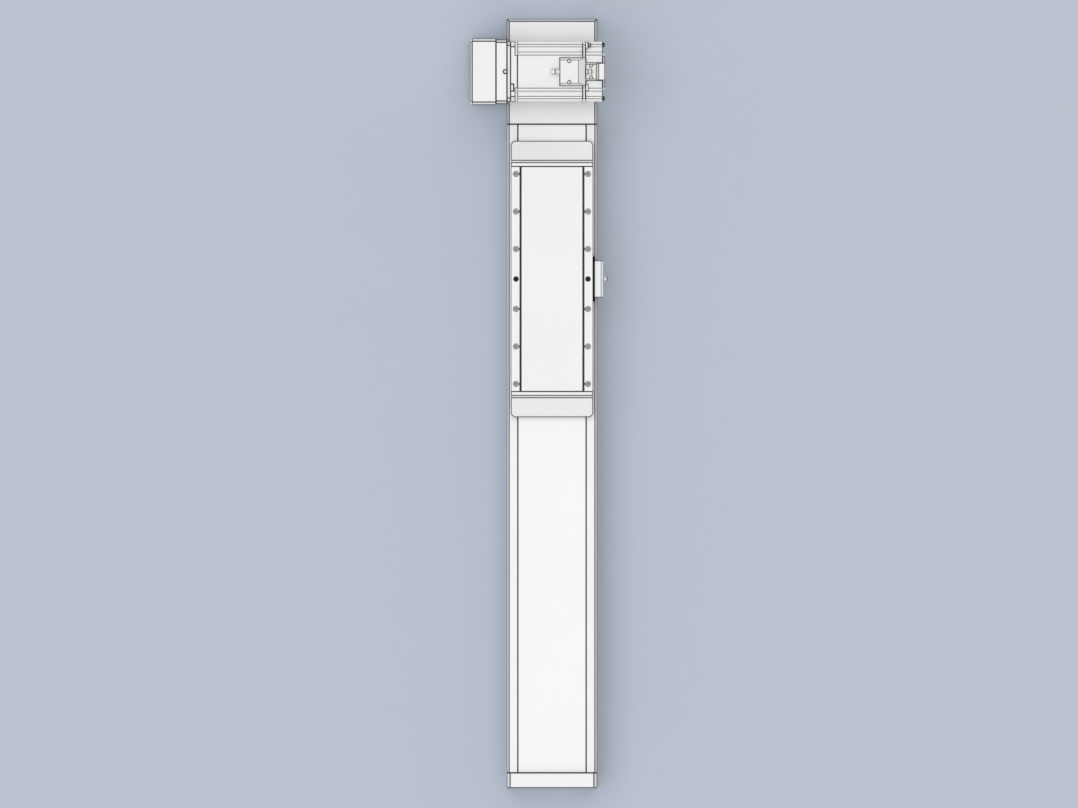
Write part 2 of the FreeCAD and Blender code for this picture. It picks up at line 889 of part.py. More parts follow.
# Carriage
def saddle():
    """Plate on the guide blocks with a hollow neck that reaches up through the long opening."""
    outer = [
        (saddle_width / 2, saddle_low),
        (saddle_width / 2, saddle_top - saddle_step),
        (saddle_width / 2 - saddle_edge, saddle_top - saddle_step),
        (saddle_width / 2 - saddle_edge, saddle_top),
        (neck_width / 2, saddle_top),
        (neck_width / 2, table_low),
    ]
    body = prism(mirrored(outer), "y", table_tail_y, table_head_y)
    half_tunnel = neck_width / 2 - neck_wall
    inner = [
        (half_tunnel, saddle_top),
        (half_tunnel, saddle_top + tunnel_height - tunnel_bevel),
        (half_tunnel - tunnel_bevel, saddle_top + tunnel_height),
    ]
    cutters = [prism(mirrored(inner), "y", table_tail_y, table_head_y)]
    half_notch = pulley_room_width / 2
    notch_end = table_tail_y + idler_notch_depth
    notch = box(-half_notch, half_notch, table_tail_y, notch_end, saddle_low, saddle_top)
    return body.cut(cutters + both_ends(notch))


def payload_places():
    reach = [table_length / 2 - payload_end_inset - n * payload_pitch for n in range(payload_rows)]
    rows = [carriage_y + side * distance for distance in reach for side in (-1, 1)]
    return [(x, y) for x in (-payload_x, payload_x) for y in rows]


def carriage_table():
    """Top of the carriage, with the strip channel, threaded holes and a seat for its cover."""
    inner_x = cover_width / 2 - cover_ledge
    body = box(-half_table, half_table, table_tail_y, table_head_y, table_low, table_top)
    seat = table_top - cover_thickness
    channel = [
        (half_channel, channel_floor),
        (half_channel, channel_top),
        (inner_x, channel_top),
        (inner_x, seat),
        (cover_width / 2 + cover_groove, seat),
        (cover_width / 2 + cover_groove, table_top + 1),
    ]
    cutters = [prism(mirrored(channel), "y", table_tail_y, table_head_y)]
    for x, y in payload_places():
        cutters.append(rod(payload_bore, "z", table_top - payload_depth, table_top, x, y))
    for x in (-payload_x, payload_x):
        cutters.append(rod(dowel_bore, "z", table_top - dowel_depth, table_top, x, carriage_y))
    return body.cut(cutters)


def centre_cover():
    half = cover_width / 2
    return box(-half, half, table_tail_y, table_head_y, table_top - cover_thickness, table_top)


def end_plate(near, far, inset, low):
    """Plate across the end of the table, open below for the strip."""
    half = half_table - inset
    right = [
        (half_channel, channel_top),
        (half_channel, low),
        (half, low),
        (half, table_top - inset),
    ]
    return prism(mirrored(right), "y", near, far)


def end_frame():
    return end_plate(table_head_y, table_head_y + end_frame_length, end_frame_inset, table_low)


def end_seal():
    near = table_head_y + end_frame_length
    return end_plate(near, near + seal_length, seal_inset, body_height + seal_gap)


def cap_screw_places():
    return [-half_table + cap_screw_inset, half_table - cap_screw_inset]


def end_cap():
    """Sloping plastic nose that guides the strip down to the profile."""
    near = table_head_y + end_frame_length + seal_length
    far = near + end_cap_length
    side = [(near, cap_low_z), (far, cap_low_z), (far, cap_nose_z), (near, cap_high_z)]
    nose = prism(side, "x", -half_table, half_table)
    plan = [
        (half_table, near),
        (half_table, far - cap_corner),
        (half_table - cap_corner, far),
    ]
    nose = nose.common(prism(mirrored(plan), "z", cap_low_z, cap_high_z))
    passage = [(near, cap_low_z - 1), (far, cap_low_z - 1), (far, cap_low_z + cap_lip), (near, channel_top)]
    cutters = [prism(passage, "x", -half_channel, half_channel)]
    for x in cap_screw_places():
        cutters.append(stud(screw_head + 2 * screw_clearance, "y", far - screw_recess, far, x, cap_screw_z))
    return nose.cut(cutters)


def end_cap_screws():
    seat = table_head_y + end_length - screw_recess
    heads = []
    for x in cap_screw_places():
        heads += both_ends(cap_screw(screw_head, screw_head_height, "y", seat, 1, x, cap_screw_z))
    return Part.makeCompound(heads)


def strip_shoe():
    """Plastic ramp under the strip at one end of the carriage."""
    tip = table_head_y + end_length
    low = strip_low - shoe_gap
    high = channel_floor
    curve = lift_path(tip, table_head_y, low, high, -1)
    wire = lift_edges(curve)
    base = low - shoe_depth + 2
    corners = [(table_head_y, high), (table_head_y, base), (tip - shoe_short, base + 3), (tip, low)]
    spots = [Vector(0, y, z) for y, z in corners]
    wire += [Part.LineSegment(a, b).toShape() for a, b in zip(spots, spots[1:])]
    return centred_slab(Part.Wire(Part.__sortEdges__(wire)), shoe_width)


def clamp_block(tail_y):
    """Toothed block under the end of the main belt that starts at this station."""
    land = upper_pitch_z - main_belt_profile.land - clamp_press_gap
    root, tip = tooth_corners(main_belt_profile, mesh_gap)
    floor = upper_pitch_z - tip[1]
    corners = [(tail_y, saddle_top), (tail_y, land)]
    for n in range(clamped_teeth):
        middle = tail_y + (n + 0.5) * main_belt_profile.pitch
        corners += [(middle - root[0], land), (middle - tip[0], floor)]
        corners += [(middle + tip[0], floor), (middle + root[0], land)]
    corners += [(tail_y + clamp_length, land), (tail_y + clamp_length, saddle_top)]
    return prism(corners, "x", -clamp_width / 2, clamp_width / 2)


def belt_clamp(tail_y):
    """Toothed block and smooth upper plate that grip one end of the main belt."""
    low = upper_pitch_z + main_belt_profile.back + clamp_press_gap
    roof = saddle_top + tunnel_height
    half = clamp_width / 2
    plate = box(-half, half, tail_y, tail_y + clamp_length, low, roof)
    return Part.makeCompound([clamp_block(tail_y), plate])


def sensor_dog():
    """Bent bracket on the side of the table: a base, a leg outward and a vane down."""
    x0 = half_table
    x1 = x0 + dog_leg_reach
    base = box(x0, x0 + dog_thickness, carriage_y - dog_length / 2, carriage_y + dog_length / 2,
               dog_leg_z - dog_base_height + dog_thickness, dog_leg_z + dog_thickness)
    leg = [
        (x0 + dog_thickness, dog_leg_z),
        (x1 - dog_thickness, dog_leg_z, dog_inner_bend),
        (x1 - dog_thickness, dog_leg_z - dog_drop),
        (x1, dog_leg_z - dog_drop),
        (x1, dog_leg_z + dog_thickness, dog_bend),
        (x0 + dog_thickness, dog_leg_z + dog_thickness),
    ]
    half = dog_leg_length / 2
    return base.fuse(prism(leg, "y", carriage_y - half, carriage_y + half)).removeSplitter()


def dog_screw_places():
    z = dog_leg_z - (dog_base_height - dog_thickness) / 2
    return [(carriage_y + d, z) for d in (-dog_screw_spread / 2, dog_screw_spread / 2)]


def dog_screws():
    """Two screws that hold the bracket and the larger button screw in its vane."""
    x = half_table + dog_thickness
    screws = [cap_screw(dog_screw_head, dog_screw_height, "x", x, 1, y, z) for y, z in dog_screw_places()]
    near = half_table + dog_leg_reach
    button = domed_stud(dog_button_diameter, near, near + dog_button_height, dog_button_bevel,
                        carriage_y, dog_leg_z - dog_button_drop)
    return Part.makeCompound(screws + [button])


# Main belt drive
def main_path():
    top = upper_pitch_z
    bottom = drive_z - drive_radius
    half_turn = math.pi * drive_radius
    return [
        Run(Vector(belt_head_end, top, 0), 0.0, drive_y - belt_head_end),
        Wrap(Vector(drive_y, drive_z, 0), drive_radius, math.pi / 2, half_turn),
        Run(Vector(drive_y, bottom, 0), math.pi, drive_y - idler_y),
        Wrap(Vector(idler_y, drive_z, 0), drive_radius, -math.pi / 2, half_turn),
        Run(Vector(idler_y, top, 0), 0.0, belt_tail_end - idler_y),
    ]


def path_length(path):
    return sum(piece.length for piece in path)


def drive_belt():
    """Open toothed belt from one clamp, round both pulleys, to the other clamp."""
    path = main_path()
    profile = main_belt_profile
    length = path_length(path)
    count = round(length / profile.pitch)
    inner = [path_point(path, 0, profile.land)]
    inner += tooth_row(path, profile, count)
    inner.append(path_point(path, length, profile.land))
    start = path_point(path, 0, -profile.back)
    end = path_point(path, length, -profile.back)
    edges = straight_edges([start] + inner + [end], 0)
    edges += back_edges(path, profile, 0)
    return centred_slab(Part.Wire(Part.__sortEdges__(edges)), profile.width)


def wheel_phase(path, index):
    """Angle at which the pulley under one wrap of a belt starts its tooth pitches."""
    wrap = path[index]
    return wrap.start_angle + path_length(path[:index]) / wrap.radius


def main_wheel(y, hole, index, hub):
    """Pulley of the main belt, with a flange and a hub on each side."""
    path = main_path()
    phase = wheel_phase(path, index)
    wheel = toothed_wheel(main_belt_profile, drive_teeth, path[index].centre, phase, -flange_x, flange_x)
    for near, far in ((-pulley_half, -flange_x), (flange_x, pulley_half)):
        wheel = wheel.fuse(stud(2 * flange_radius, "x", near, far, y, drive_z, medium_sides))
    if hub > pulley_half:
        wheel = wheel.fuse(stud(hub_diameter, "x", -hub, hub, y, drive_z, medium_sides))
    return wheel.removeSplitter().cut(hole)


def drive_pulley():
    hub = bearing_x - seat_gap
    return main_wheel(drive_y, bore(shaft_diameter + 2 * seat_gap, "x", -hub, hub, drive_y, drive_z), 1, hub)


def idler_pulley():
    hole = stud(idler_bearing_outer, "x", -pulley_half, pulley_half, idler_y, drive_z, medium_sides)
    return main_wheel(idler_y, hole, 3, pulley_half)


def drive_shaft():
    """Stepless shaft from the side belt box to the bearing on the far side."""
    right_end = bearing_x + bearing_width - shaft_end_inset
    return rod(shaft_diameter, "x", side_hub_far + shaft_hub_inset, right_end, drive_y, drive_z)


def drive_bearing():
    """Ball bearing in the right side of the head, as one closed ring."""
    return bearing_ring(bearing_outer, shaft_diameter, bearing_x, bearing_x + bearing_width, drive_y)


def bearing_cap():
    """Round cover that holds the right bearing in its bore."""
    inner = half_body - bearing_cap_thickness
    return stud(bearing_cap_diameter, "x", inner, half_body, drive_y, drive_z, medium_sides)


def idler_bracket():
    """Fork that carries the idler axle and is drawn to the tail by two screws."""
    inner = pulley_half + idler_arm_gap
    outer = inner + idler_arm_thickness
    web_far = idler_web_y + idler_web_thickness
    tip = idler_y + idler_arm_reach
    low = drive_z - idler_arm_height / 2
    high = drive_z + idler_arm_height / 2
    fork = box(-outer, outer, idler_web_y, tip, low, high)
    gap = box(-inner, inner, web_far, tip, low, high)
    axle_bore = bore(idler_axle_diameter + 2 * seat_gap, "x", -outer, outer, idler_y, drive_z)
    holes = [stud(tension_shank + 2 * seat_gap, "y", idler_web_y, web_far, x, z)
             for x, z in tension_screw_places()]
    return fork.cut([gap, axle_bore] + holes)


def idler_axle():
    outer = pulley_half + idler_arm_gap + idler_arm_thickness
    return stud(idler_axle_diameter, "x", -outer, outer, idler_y, drive_z, medium_sides)


def idler_bearing():
    """Double-row bearing inside the idler pulley."""
    return bearing_ring(idler_bearing_outer, idler_axle_diameter, -pulley_half, pulley_half, idler_y)


# Side belt drive
def side_path():
    """Loop round the driven pulley below and the motor pulley above."""
    low = Vector(drive_y, drive_z, 0)
    high = Vector(drive_y, motor_z, 0)
    run = side_centre * math.cos(side_lean)
    left = math.pi - side_lean
    right = side_lean
    left_start = low + Vector(math.cos(left), math.sin(left), 0) * side_driven_radius
    right_start = high + Vector(math.cos(right), math.sin(right), 0) * side_motor_radius
    return [
        Wrap(low, side_driven_radius, right, side_driven_radius * (math.pi + 2 * side_lean)),
        Run(left_start, left - math.pi / 2, run),
        Wrap(high, side_motor_radius, left, side_motor_radius * (math.pi - 2 * side_lean)),
        Run(right_start, right - math.pi / 2, run),
    ]


def side_belt():
    """Closed toothed belt from the motor pulley to the driven pulley."""
    path = side_path()
    profile = side_belt_profile
    near = side_belt_x - profile.width / 2
    outer = Part.Face(Part.Wire(Part.__sortEdges__(back_edges(path, profile, near))))
    points = tooth_row(path, profile, side_belt_teeth)
    inner = Part.Face(Part.Wire(straight_edges(points + points[:1], near)))
    return outer.cut(inner).extrude(Vector(profile.width, 0, 0))


def side_wheel(index, shaft, flanges):
    """Pulley on the wrap with this index of the side belt."""
    path = side_path()
    wrap = path[index]
    profile = side_belt_profile
    teeth = round(2 * math.pi * wrap.radius / profile.pitch)
    phase = wheel_phase(path, index)
    y, z = wrap.centre.x, wrap.centre.y
    wheel = toothed_wheel(profile, teeth, wrap.centre, phase, side_hub_far, side_hub_near)
    radius = wrap.radius + profile.back + flange_rise
    if flanges:
        thickness = side_hub_margin - flange_gap
        for near in (side_hub_far, side_hub_near - thickness):
            wheel = wheel.fuse(stud(2 * radius, "x", near, near + thickness, y, z, medium_sides))
    return wheel.removeSplitter().cut(bore(shaft + 2 * seat_gap, "x", side_hub_far, side_hub_near, y, z))


def side_driven_pulley():
    return side_wheel(0, shaft_diameter, False)


def motor_pulley():
    return side_wheel(2, motor_shaft_diameter, True)


def side_box_outline(inset, chamfer):
    """Outline of the side belt box with cut corners, drawn in by an inset."""
    half = side_box_reach - inset
    low = side_box_low + inset
    high = side_box_high - inset
    spots = [(half - chamfer, low), (half, low + chamfer), (half, high - chamfer), (half - chamfer, high)]
    return [(drive_y + a, z) for a, z in mirrored(spots)]


def side_box_base():
    """Thick plate on the side of the head that carries the motor and the side belt box."""
    plate = prism(side_box_outline(side_base_inset, side_base_corner), "x", side_base_x, -half_body)
    return plate.cut([
        stud(side_bore, "x", side_base_x, -half_body, drive_y, z, medium_sides) for z in (drive_z, motor_z)
    ])


def side_box_cover():
    """Cover over the side belt, hollow inside and bevelled along its outer rim."""
    shell = prism(side_box_outline(0.0, side_corner), "x", side_cover_x, side_base_x)
    rim = [edge for edge in shell.Edges if edge.BoundBox.XMax < side_cover_x + 0.01]
    shell = shell.makeChamfer(side_cover_bevel, rim)
    inner = side_box_outline(side_cover_wall, side_corner / 2)
    room = prism(inner, "x", side_cover_x + side_cover_wall, side_base_x)
    return shell.cut(room)


def tension_screw():
    """Screw on top of the side box that tightens the side belt."""
    x = -half_body - tension_head_inset
    seat = side_box_high - side_base_inset
    return cap_screw(tension_head, tension_head_height, "z", seat, 1, x, drive_y)


# Motor
def motor_x(distance):
    """Station along the motor, measured back from its mounting face."""
    return motor_face_x + distance


def motor_adapter():
    outline = rectangle(drive_y, motor_z, adapter_width, motor_square)
    plate = prism(outline, "x", -half_body, motor_face_x)
    return plate.cut(stud(side_bore, "x", -half_body, motor_face_x, drive_y, motor_z, medium_sides))


def chamfered_square(size, chamfer):
    half = size / 2
    inner = half - chamfer
    spots = [(inner, -half), (half, -inner), (half, inner), (inner, half)]
    return [(drive_y + a, motor_z + b) for a, b in mirrored(spots)]


def motor_flange():
    """Square flange with thinner ears at its corners and a bearing bore for the shaft."""
    full = prism(chamfered_square(motor_square, motor_flange_chamfer), "x", motor_face_x,
                 motor_x(motor_ear_thickness))
    cross = [(motor_flat, -motor_square / 2), (motor_flat, -motor_flat), (motor_square / 2, -motor_flat),
             (motor_square / 2, motor_flat), (motor_flat, motor_flat), (motor_flat, motor_square / 2)]
    corners = [(drive_y + a, motor_z + b) for a, b in mirrored(cross)]
    middle = prism(corners, "x", motor_face_x, motor_x(motor_flange_thickness))
    core = box(motor_face_x, motor_x(motor_flange_thickness), drive_y - motor_valley, drive_y + motor_valley,
               motor_z - motor_valley, motor_z + motor_valley)
    flange = full.fuse([middle, core, raised_pad(motor_face_x)]).removeSplitter()
    far = motor_x(motor_shaft_depth + motor_shaft_room)
    return flange.cut(bore(motor_shaft_diameter + 2 * running_gap, "x", motor_face_x, far, drive_y, motor_z))


def motor_section():
    """Ribbed outline of the motor housing with rounded corners."""
    half = motor_square / 2
    low_side = half - motor_valley_drop
    spots = [
        (motor_flat, -half),
        (motor_ridge, -half + motor_ridge_drop),
        (motor_valley, -low_side),
        (half, -low_side, motor_corner),
        (half, low_side, motor_corner),
        (motor_valley, low_side),
        (motor_ridge, half - motor_ridge_drop),
        (motor_flat, half),
    ]
    return [(drive_y + spot[0], motor_z + spot[1]) + tuple(spot[2:]) for spot in mirrored(spots)]


def motor_body():
    near = motor_x(motor_flange_thickness)
    return prism(motor_section(), "x", near, near + motor_body_length)


def bracket_start():
    return motor_x(motor_flange_thickness + motor_body_length)


def motor_bracket():
    near = bracket_start()
    outline = chamfered_square(motor_square - 1.0, bracket_chamfer)
    return prism(outline, "x", near, near + motor_bracket_length)


def encoder_start():
    return bracket_start() + motor_bracket_length


def encoder_cover():
    cover = prism(motor_section(), "x", encoder_start(), encoder_start() + encoder_length)
    return cover.fuse(raised_pad(encoder_start())).removeSplitter()


def rear_cap():
    near = encoder_start() + encoder_length
    outline = chamfered_square(rear_cap_square, bracket_chamfer)
    return prism(outline, "x", near, near + rear_cap_length)


def rear_screws():
    seat = encoder_start() + encoder_length
    offset = rear_screw_offset
    low = offset - motor_valley_drop
    return Part.makeCompound([
        domed_stud(rear_screw_head, seat, seat + rear_screw_height, rear_screw_bevel,
                   drive_y + y, motor_z + z, small_sides)
        for y in (-offset, offset)
        for z in (-low, low)
    ])


def raised_pad(near):
    """Small pad on the upper face of the motor, next to one of its joints."""
    y = drive_y - pad_offset
    low = motor_top - motor_ridge_drop
    return box(near, near + pad_length, y - pad_width / 2, y + pad_width / 2, low, motor_top + pad_height)


def ground_terminal():
    """Lug on the shoulder of the encoder cover with its clamping screw."""
    near = encoder_start()
    low = motor_top - motor_valley_drop
    y = drive_y + terminal_offset - terminal_width / 2
    lug = box(near, near + terminal_length, y, y + terminal_width, low, low + terminal_height)
    seat = near + terminal_length
    screw = cap_screw(terminal_screw, terminal_screw_length, "x", seat, 1, drive_y + terminal_offset,
                      low + terminal_screw / 2)
    return Part.makeCompound([lug.cut(encoder_cover()), screw])


def motor_shaft():
    near = motor_x(motor_shaft_depth)
    far = motor_face_x - motor_shaft_length
    return stud(motor_shaft_diameter, "x", near, far, drive_y, motor_z, medium_sides)


# Connectors
def power_connector():
    """Angled connector housing with bevelled sides and a sloping back."""
    near = motor_x(power_start)
    far = near + power_length
    top = motor_top + power_height
    half = power_width / 2
    rear = [(far, motor_top), (far, top - power_drop), (far - power_slope, top)]
    side = [(near, motor_top)] + rear + [(near, top)]
    housing = prism(side, "y", drive_y - half, drive_y + half)
    front = [
        (half, motor_top),
        (half, top - power_drop),
        (half - power_side, top),
    ]
    across = [(drive_y + a, b) for a, b in mirrored(front)]
    bosses = [stud(connector_boss, "z", motor_top, top, x, y) for x, y in power_screw_places()]
    return housing.common(prism(across, "x", near, far)).fuse(bosses).removeSplitter()


def power_screw_places():
    x = motor_x(power_start + power_screw_along)
    return [(x, drive_y - power_screw_side), (x, drive_y + power_screw_side)]


def connector_screws():
    seat = motor_top + power_height
    screws = [cap_screw(connector_screw_head, connector_screw_height, "z", seat, 1, x, y)
              for x, y in power_screw_places()]
    x = motor_x(encoder_plug_start + encoder_plug_screw_along)
    seat = motor_top + encoder_plug_base
    screws += [cap_screw(connector_screw_head, connector_screw_height, "z", seat, 1, x, drive_y + y)
               for y in (-encoder_plug_screw_side, encoder_plug_screw_side)]
    return Part.makeCompound(screws)


def cable_glands():
    """Round cable entries of both connectors, one of them with a domed end."""
    power = motor_x(power_start)
    encoder = motor_x(encoder_plug_start)
    z = motor_top + encoder_plug_base + gland_diameter / 2
    entry_z = motor_top + gland_height
    entry = stud(gland_diameter, "x", power - gland_length, power, drive_y, entry_z, medium_sides)
    domed = domed_stud(gland_diameter, encoder + encoder_gland_gap, encoder + encoder_gland_length,
                       plug_bevel, drive_y, z)
    return Part.makeCompound([entry, domed])


def blanking_plug():
    """Domed plug in the end of the power gland."""
    start = motor_x(power_start) - gland_length
    z = motor_top + gland_height
    return domed_stud(plug_diameter, start, start - plug_length, plug_bevel, drive_y, z)


def encoder_connector():
    """Connector with a low base towards the motor and a taller body at the rear."""
    near = motor_x(encoder_plug_start)
    far = near + encoder_plug_length
    top = motor_top + encoder_plug_height
    floor = motor_top + encoder_plug_base
    body = far - encoder_plug_body
    side = [
        (near, motor_top),
        (far, motor_top),
        (far, top),
        (body, top),
        (body - encoder_plug_slope, floor),
        (near, floor),
    ]
    half = encoder_plug_width / 2
    block = prism(side, "y", drive_y - half, drive_y + half)
    step_low = motor_top + encoder_plug_skirt
    step_far = body - encoder_plug_slope
    inner = half - encoder_plug_step
    steps = ((-half, -inner), (inner, half))
    return block.cut([box(near, step_far, drive_y + a, drive_y + b, step_low, floor) for a, b in steps])


parts = {
    "body_extrusion": body_extrusion(),
    "magnet_strips": magnet_strips(),
    "cover_strip": cover_strip(),
    "strip_clamps": strip_clamps(),
    "head_housing": head_housing(),
    "head_cover": head_cover(),
    "tail_block": tail_block(),
    "tail_screws": tail_screws(),
    "tension_screws": tension_screws(),
    "bumpers": bumpers(),
    "rail_left": rail(-1),
    "rail_right": rail(1),
    "block_end_caps": block_end_caps(),
    "saddle": saddle(),
    "carriage_table": carriage_table(),
    "centre_cover": centre_cover(),
    "end_frames": Part.makeCompound(both_ends(end_frame())),
    "end_seals": Part.makeCompound(both_ends(end_seal())),
    "end_cap_head": end_cap(),
    "end_cap_tail": at_tail_end(end_cap()),
    "end_cap_screws": end_cap_screws(),
    "strip_shoes": Part.makeCompound(both_ends(strip_shoe())),
    "belt_clamp_head": belt_clamp(belt_head_end),
    "belt_clamp_tail": belt_clamp(belt_tail_end - clamp_length),
    "sensor_dog": sensor_dog(),
    "dog_screws": dog_screws(),
    "drive_belt": drive_belt(),
    "drive_pulley": drive_pulley(),
    "drive_shaft": drive_shaft(),
    "bearing_cap": bearing_cap(),
    "idler_pulley": idler_pulley(),
    "idler_bracket": idler_bracket(),
    "idler_axle": idler_axle(),
    "idler_bearing": idler_bearing(),
    "side_belt": side_belt(),
    "side_driven_pulley": side_driven_pulley(),
    "motor_pulley": motor_pulley(),
    "side_box_base": side_box_base(),
    "side_box_cover": side_box_cover(),
    "tension_screw": tension_screw(),
    "motor_adapter": motor_adapter(),
    "motor_flange": motor_flange(),
    "motor_body": motor_body(),
    "motor_bracket": motor_bracket(),
    "encoder_cover": encoder_cover(),
    "rear_cap": rear_cap(),
    "rear_screws": rear_screws(),
    "ground_terminal": ground_terminal(),
    "motor_shaft": motor_shaft(),
    "power_connector": power_connector(),
    "encoder_connector": encoder_connector(),
    "connector_screws": connector_screws(),
    "cable_glands": cable_glands(),
    "blanking_plug": blanking_plug(),
}

for side_name, side in (("left", -1), ("right", 1)):
    for end_name, end in (("head", 1), ("tail", -1)):
        parts["guide_block_" + end_name + "_" + side_name] = guide_block(side, end)
for side_name, bearing in zip(("right", "left"), both_sides(drive_bearing())):
    parts["drive_bearing_" + side_name] = bearing

os.makedirs("parts", exist_ok=True)
for name, shape in parts.items():
    shape.exportStep("parts/" + name + ".step")
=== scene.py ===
import bmesh
import bpy
import json
import math
from collections import namedtuple
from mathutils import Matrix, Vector


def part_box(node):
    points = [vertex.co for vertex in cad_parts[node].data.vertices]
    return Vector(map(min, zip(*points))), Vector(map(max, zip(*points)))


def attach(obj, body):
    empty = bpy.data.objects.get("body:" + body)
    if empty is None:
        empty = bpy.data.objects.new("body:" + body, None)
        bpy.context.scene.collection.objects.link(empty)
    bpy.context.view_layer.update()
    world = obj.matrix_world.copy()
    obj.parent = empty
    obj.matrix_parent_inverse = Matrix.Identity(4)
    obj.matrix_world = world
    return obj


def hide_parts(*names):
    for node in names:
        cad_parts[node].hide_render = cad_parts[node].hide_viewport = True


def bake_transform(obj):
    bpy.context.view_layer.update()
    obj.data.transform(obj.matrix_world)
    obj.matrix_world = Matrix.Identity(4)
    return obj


# Looks of a belt-driven linear actuator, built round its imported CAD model. X runs across, Y along
# the travel with the drive head at +Y, and Z up. Sizes and places are in millimetres unless a name
# or comment says otherwise, and most of them come from the boxes of the CAD nodes.

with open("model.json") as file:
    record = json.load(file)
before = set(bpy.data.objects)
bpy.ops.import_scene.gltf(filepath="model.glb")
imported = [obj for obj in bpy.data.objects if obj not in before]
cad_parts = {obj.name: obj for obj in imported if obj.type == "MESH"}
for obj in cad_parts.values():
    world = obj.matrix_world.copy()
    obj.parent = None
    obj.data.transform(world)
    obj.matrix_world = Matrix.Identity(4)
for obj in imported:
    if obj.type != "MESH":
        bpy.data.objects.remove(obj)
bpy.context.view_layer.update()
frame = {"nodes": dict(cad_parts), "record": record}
record = frame["record"]
body_of = {node: body for body, names in record["behaviour"]["bodies"].items() for node in names}
slot_of = {row["node"]: row["material_slot"] for row in record["subparts"]}

mm = 0.001
weld_metres = 1e-6
sharp_angle = math.radians(31)
flat_angle = math.radians(0.5)
corner_steps = 8
few_sides = 24
round_sides = 32
many_sides = 64

# How far a cutter runs past the face that it opens
past = 1.0

Span = namedtuple("Span", "x0 x1 y0 y1 z0 z1")


def span(node):
    """Reach of a CAD node at rest, in millimetres."""
    low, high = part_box(node)
    return Span(*[round(value / mm, 3) for pair in zip(low, high) for value in pair])


extrusion = span("body_extrusion")
head = span("head_housing")
tail = span("tail_block")
strip = span("cover_strip")
table = span("carriage_table")
cover = span("centre_cover")
cap_head = span("end_cap_head")
cap_tail = span("end_cap_tail")
clamp_head = span("belt_clamp_head")
clamp_tail = span("belt_clamp_tail")
dog = span("sensor_dog")
box_base = span("side_box_base")
box_cover = span("side_box_cover")
adapter = span("motor_adapter")
flange = span("motor_flange")
motor = span("motor_body")
bracket = span("motor_bracket")
encoder = span("encoder_cover")
power = span("power_connector")
plug = span("encoder_connector")
shaft = span("drive_shaft")
idler = span("idler_pulley")
belt = span("drive_belt")
drive_y = (shaft.y0 + shaft.y1) / 2
drive_z = (shaft.z0 + shaft.z1) / 2
idler_y = (idler.y0 + idler.y1) / 2
motor_z = (bracket.z0 + bracket.z1) / 2
motor_top = motor.z1
motor_half = (motor.z1 - motor.z0) / 2
carriage_y = (table.y0 + table.y1) / 2

# Widths of the dark lines of painted shade along edges, and of the joint lines between pieces
panel_edge = 1.0
fine_edge = 0.9
table_edge = 0.7
small_edge = 0.45
joint_width = 1.0
joint_proud = 0.06

# Heads and bore radius of the screws at the ends of the frame, and the bevel of small screw heads
end_head = 8.5
end_head_height = 5.0
end_bore = 4.6
small_bevel = 0.4

# Motor section: half widths of its flat top, ridges and valleys, and how far these lie below the top
motor_flat = 22.0
motor_ridge = 26.0
motor_valley = 33.0
ridge_drop = 2.0
valley_drop = 4.6
motor_corner = 4.0

# Heights of the encoder connector's floor, and of the axis of the power gland and blanking plug
plug_floor = motor_top + 8.0
plug_axis = motor_top + 11.0


# Camera, lamps and floor
def look_down(width, x, y):
    """Camera straight above the object, with +Y up in the picture; its width and place are in metres."""
    height = 3.0
    depth = 20.0
    data = bpy.data.cameras.new("camera")
    data.type = "ORTHO"
    data.ortho_scale = width
    data.clip_end = depth
    camera = bpy.data.objects.new("camera", data)
    camera.location = (x, y, height)
    bpy.context.scene.collection.objects.link(camera)
    bpy.context.scene.camera = camera


def add_sun(name, strength, angle, direction):
    data = bpy.data.lights.new(name, "SUN")
    data.energy = strength
    data.angle = math.radians(angle)
    lamp = bpy.data.objects.new(name, data)
    lamp.rotation_euler = Vector(direction).to_track_quat("-Z", "Y").to_euler()
    bpy.context.scene.collection.objects.link(lamp)


def set_world(colour, strength):
    world = bpy.data.worlds.new("studio")
    world.use_nodes = True
    background = world.node_tree.nodes["Background"]
    background.inputs["Color"].default_value = (*colour, 1.0)
    background.inputs["Strength"].default_value = strength
    bpy.context.scene.world = world


def build_floor():
    half = 6000.0
    gap = 0.2
    bm = bmesh.new()
    bmesh.ops.create_grid(bm, x_segments=1, y_segments=1, size=half * mm)
    floor = link_piece("floor", bm, [floor_look])
    floor.location.z = -gap * mm


# Materials
def noise(tree, scale, stretch, detail):
    """Noise in the object's own space, with a scale for each axis."""
    place_node = tree.nodes.new("ShaderNodeTexCoord")
    mapping = tree.nodes.new("ShaderNodeMapping")
    mapping.inputs["Scale"].default_value = stretch
    texture = tree.nodes.new("ShaderNodeTexNoise")
    texture.inputs["Scale"].default_value = scale
    texture.inputs["Detail"].default_value = detail
    tree.links.new(place_node.outputs["Object"], mapping.inputs["Vector"])
    tree.links.new(mapping.outputs["Vector"], texture.inputs["Vector"])
    return texture.outputs["Fac"]


def ranged(tree, value, low, high):
    """The middle reach of a noise value, spread to run between two limits."""
    noise_low = 0.3
    noise_high = 0.7
    node = tree.nodes.new("ShaderNodeMapRange")
    node.inputs["From Min"].default_value = noise_low
    node.inputs["From Max"].default_value = noise_high
    node.inputs["To Min"].default_value = low
    node.inputs["To Max"].default_value = high
    tree.links.new(value, node.inputs["Value"])
    return node.outputs["Result"]


def average(tree, first, second):
    node = tree.nodes.new("ShaderNodeMath")
    node.operation = "ADD"
    halved = tree.nodes.new("ShaderNodeMath")
    halved.operation = "MULTIPLY"
    halved.inputs[1].default_value = 0.5
    tree.links.new(first, node.inputs[0])
    tree.links.new(second, node.inputs[1])
    tree.links.new(node.outputs[0], halved.inputs[0])
    return halved.outputs[0]


